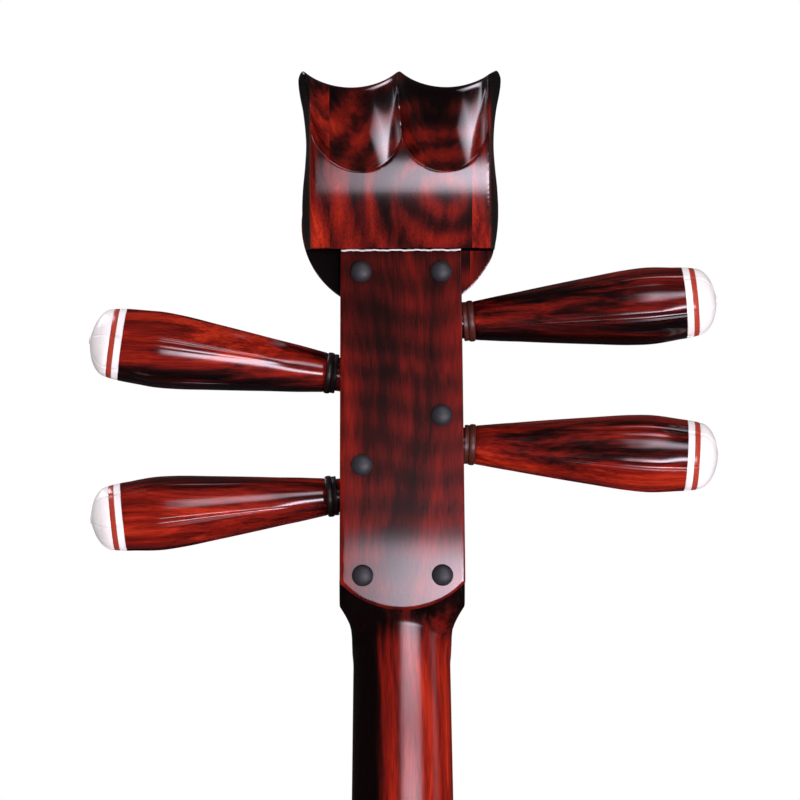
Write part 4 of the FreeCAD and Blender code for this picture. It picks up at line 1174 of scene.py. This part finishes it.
@dataclass
class Stringing(Assembly):
    """Loops that tie the strings to the bridge."""

    gap: float = 11.5
    front_y: float = -60.0
    tie_rise: float = 7.2
    tie_top: float = 9.5
    foot_z: float = -119.5
    block: float = 12.0
    strings: tuple[tuple[float, float], ...] = ((1.5, 1.2), (0.5, 1.0), (-0.5, 0.8), (-1.5, 0.7))

    def build(self) -> None:
        """Tie a loop for each string over the tie block."""
        for order, wire in self.strings:
            path = self.loop(order * self.gap + 1.1 * wire, wire)
            self.add(cord("string_loop", path, wire * 0.5, self.palette.get(STEEL)), "string_plain")

    def loop(self, x: float, wire: float) -> list[tuple[float, float, float]]:
        """Path over the tie block, from its tail face to its head face."""
        top = self.front_y - self.tie_top - wire * 0.5
        low = self.front_y - self.tie_rise
        tail, head = self.foot_z - wire * 0.5, self.foot_z + self.block + wire * 0.5
        bend = [(x, low, tail)]
        bend += [(x, low + (top - low) * s, tail) for s in (0.5, 0.8)]
        bend += [(x, top, tail + 0.5)]
        bend += [(x, top, tail + (head - tail) * s) for s in (0.2, 0.5, 0.8)]
        bend += [(x, top, head - 0.5), (x, low + (top - low) * 0.8, head), (x, low, head)]
        return bend
@dataclass
class Studio:
    """Camera, floor, world and lamps: a plain pale set with soft light."""

    frame_mm: float = 258.1
    distance: float = 1.5
    aside_degrees: float = 0.8
    aim_z: float = 0.6665
    aim_x: float = 0.00055
    aim_y: float = -0.032
    lens: float = 200.0
    lean_degrees: float = 0.29
    floor_z: float = -0.226
    ambient: float = 0.2
    overhead: float = 0.72
    ahead: float = 0.4
    mirrored: float = 0.03
    layers: int = 5
    tint: tuple[float, float, float] = (0.97, 0.86, 1.0)

    def build(self) -> None:
        """Set up the whole studio."""
        scene = bpy.context.scene
        scene.view_settings.view_transform = "Standard"
        self.camera()
        self.world()
        self.floor()
        self.lamps()

    def camera(self) -> None:
        """Place the camera level behind the head, as in the photograph."""
        data = bpy.data.cameras.new("camera")
        data.lens = self.lens
        data.sensor_width = self.lens * self.frame_mm * MM / self.distance
        camera = bpy.data.objects.new("camera", data)
        bpy.context.scene.collection.objects.link(camera)
        aside = math.radians(self.aside_degrees)
        turn = Matrix.Rotation(math.pi - aside, 4, "Z") @ Matrix.Rotation(math.pi / 2, 4, "X")
        roll = Matrix.Rotation(math.radians(-self.lean_degrees), 4, "Z")
        stand = Vector((math.sin(aside), math.cos(aside), 0.0)) * self.distance
        place = Matrix.Translation(Vector((self.aim_x, self.aim_y, self.aim_z)) + stand)
        camera.matrix_world = place @ turn @ roll
        bpy.context.scene.camera = camera

    def world(self) -> None:
        """White to the camera; as a light, dim at eye height, brighter overhead and before the instrument."""
        world = bpy.data.worlds.new("world")
        bpy.context.scene.world = world
        world.use_nodes = True
        g = Nodes(world.node_tree)
        path = g.add("LightPath")
        way = g.add("SeparateXYZ", Vector=g.add("TexCoord").outputs["Generated"])
        over = g.add("MapRange", Value=way.outputs["Z"], From_Min=0.0, From_Max=0.8, To_Min=self.ambient,
                     To_Max=self.overhead)
        ahead = g.add("MapRange", Value=way.outputs["Y"], From_Min=0.0, From_Max=-0.8, To_Min=0.0,
                      To_Max=self.ahead)
        fill = g.add("Math", {"operation": "ADD"}, i0=over.outputs[0], i1=ahead.outputs[0])
        dim = g.add("Mix", {"data_type": "FLOAT"}, i0=path.outputs["Is Glossy Ray"], i2=fill.outputs[0],
                    i3=self.mirrored)
        seen = g.add("Math", {"operation": "MAXIMUM"}, i0=path.outputs["Is Camera Ray"],
                     i1=path.outputs["Is Transmission Ray"])
        level = g.add("Mix", {"data_type": "FLOAT"}, i0=seen.outputs[0], i2=dim.outputs[0], i3=1.0)
        shade = world.node_tree.nodes["Background"]
        g.join((1.0, 1.0, 1.0, 1.0), shade.inputs["Color"])
        g.join(level.outputs[0], shade.inputs["Strength"])

    def floor(self) -> None:
        """Pale round floor under the instrument."""
        g = Graph("matt_pale_floor")
        grain = g.add("TexNoise", Scale=40.0, Detail=2.0)
        tone = g.ramp(grain.outputs["Fac"], ((0.3, "#e6e4e1"), (0.7, "#ebe9e6")))
        path = g.add("LightPath")
        dark = g.add("Mix", {"data_type": "RGBA"}, i0=path.outputs["Is Glossy Ray"], i6=tone,
                     i7=linear("#26242a"))
        material = g.finish(Base_Color=dark.outputs[2], Roughness=0.9)
        around = [2 * math.pi * i / 96 for i in range(96)]
        rim = [(2.6 * math.cos(a), 2.6 * math.sin(a), self.floor_z) for a in around]
        floor = solid("floor", rim, [list(range(96))], material)

    def lamps(self) -> None:
        """Four softboxes.

        The key hangs low behind the camera's right shoulder and shows on the head's roll and the cover's
        foot. The high one shows on the pegs, the rim along the right edges and the strip in the scoops.
        """
        aim = Vector((0.0, -0.03, 0.66))
        self.softbox("key", aim, 19.0, -12.8, 1.5, (1.25, 0.36), 15.5)
        self.softbox("high", aim, 16.0, 28.0, 1.6, (0.9, 0.6), 6.0)
        self.softbox("rim", aim, 76.0, -4.0, 1.6, (0.6, 1.2), 1.6)
        self.softbox("strip", aim, -125.0, 43.0, 1.6, (0.6, 1.6), 12.0, -38.0)

    def softbox(self, name: str, aim: Vector, right: float, up: float, away: float,
                size: tuple[float, float], watts: float, roll: float = 0.0) -> None:
        """Hang one softbox as stacked panes, each smaller than the last, so that its edge fades.

        Args:
            name: the lamp's name.
            aim: what it points at.
            right: degrees to the camera's right of the middle, seen from the object's back.
            up: degrees above the horizon.
            away: distance in metres.
            size: width and height in metres.
            watts: power.
            roll: degrees that the lamp is turned about its own axis.
        """
        a, e = math.radians(right), math.radians(up)
        heading = Vector((-math.sin(a) * math.cos(e), math.cos(a) * math.cos(e), math.sin(e)))
        facing = heading.to_track_quat("Z", "Y").to_matrix().to_4x4()
        turned = facing @ Matrix.Rotation(math.radians(roll), 4, "Z")
        for layer in range(self.layers):
            share = 1 - 0.9 * layer / self.layers
            data = bpy.data.lights.new(f"{name}_{layer}", "AREA")
            data.shape = "RECTANGLE"
            data.size, data.size_y = size[0] * share, size[1] * share
            data.energy = watts * share**2 * 2.4 / self.layers
            data.color = self.tint
            lamp = bpy.data.objects.new(data.name, data)
            lamp.matrix_world = Matrix.Translation(aim + heading * (away + 0.01 * layer)) @ turned
            bpy.context.scene.collection.objects.link(lamp)


def dress(frame: dict[str, Any], palette: Palette) -> None:
    """Give the constructed pieces that stay in view their finishes."""
    wanted = {
        "soundboard": PAULOWNIA, "back_board": BODY_WOOD, "rib_bass": BODY_WOOD, "rib_treble": BODY_WOOD,
        "front_binding": DARK_WOOD, "back_binding": DARK_WOOD, "sound_hole_rings": DARK_WOOD,
        "cover_screws": BLACK_STEEL, "head_face": FACE_WOOD, "head_inlay": BONE, "fingerboard": DARK_WOOD,
        "frets": NICKEL, "fret_dots": BONE, "nut": BONE, "saddle": BONE, "bridge": DARK_WOOD,
        "end_button": DARK_WOOD,
    }
    rounded = ("bridge", "nut", "saddle", "head_face", "head_inlay", "end_button", "front_binding",
               "back_binding")
    for name, node in frame["nodes"].items():
        finish = wanted.get(name)
        if finish is None:
            metal = name.startswith("string") or name.endswith("_coil")
            finish = STEEL if metal else INNER_WOOD
        node.data.materials.clear()
        node.data.materials.append(palette.get(finish))
        if name in rounded:
            ease = node.modifiers.new("eased_edges", "BEVEL")
            ease.width = 0.3 * MM
            ease.segments = 2
            ease.limit_method = "ANGLE"
            ease.angle_limit = math.radians(40.0)
            ease.harden_normals = True
        LOG.info("dressed %s", name)


def main() -> None:
    """Build every sub-assembly in order and report each piece."""
    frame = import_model()
    palette = Palette()
    Studio().build()
    dress(frame, palette)
    Head(palette, wood=HEAD_WOOD, cheeks=(BASS_CHEEK_WOOD, TREBLE_CHEEK_WOOD)).build()
    Neck(palette, wood=NECK_WOOD).build()
    Cover(palette, wood=COVER_WOOD).build()
    seats = (("peg_a", 1, 37.4, -5.4, -14.0, DARK_HORN, 66.3, 0.975),
             ("peg_b", -1, 53.1, -3.2, -19.0, HORN, 68.7, 1.02),
             ("peg_c", 1, 72.1, 8.1, 12.6, DARK_HORN, 66.8, 1.035),
             ("peg_d", -1, 90.3, 4.6, -17.5, HORN, 68.7, 1.02))
    Soundbox(palette).build()
    Stringing(palette).build()
    for wood, (name, side, height, rise, turn, collar, length, girth) in zip(PEG_WOODS, seats):
        Peg(palette, name=name, side=side, height=height, rise=rise, turn=turn, wood=wood, collar=collar,
            length=length, girth=girth).build()


if __name__ == "__main__":
    logging.basicConfig(level=logging.INFO, format="%(message)s")
    main()
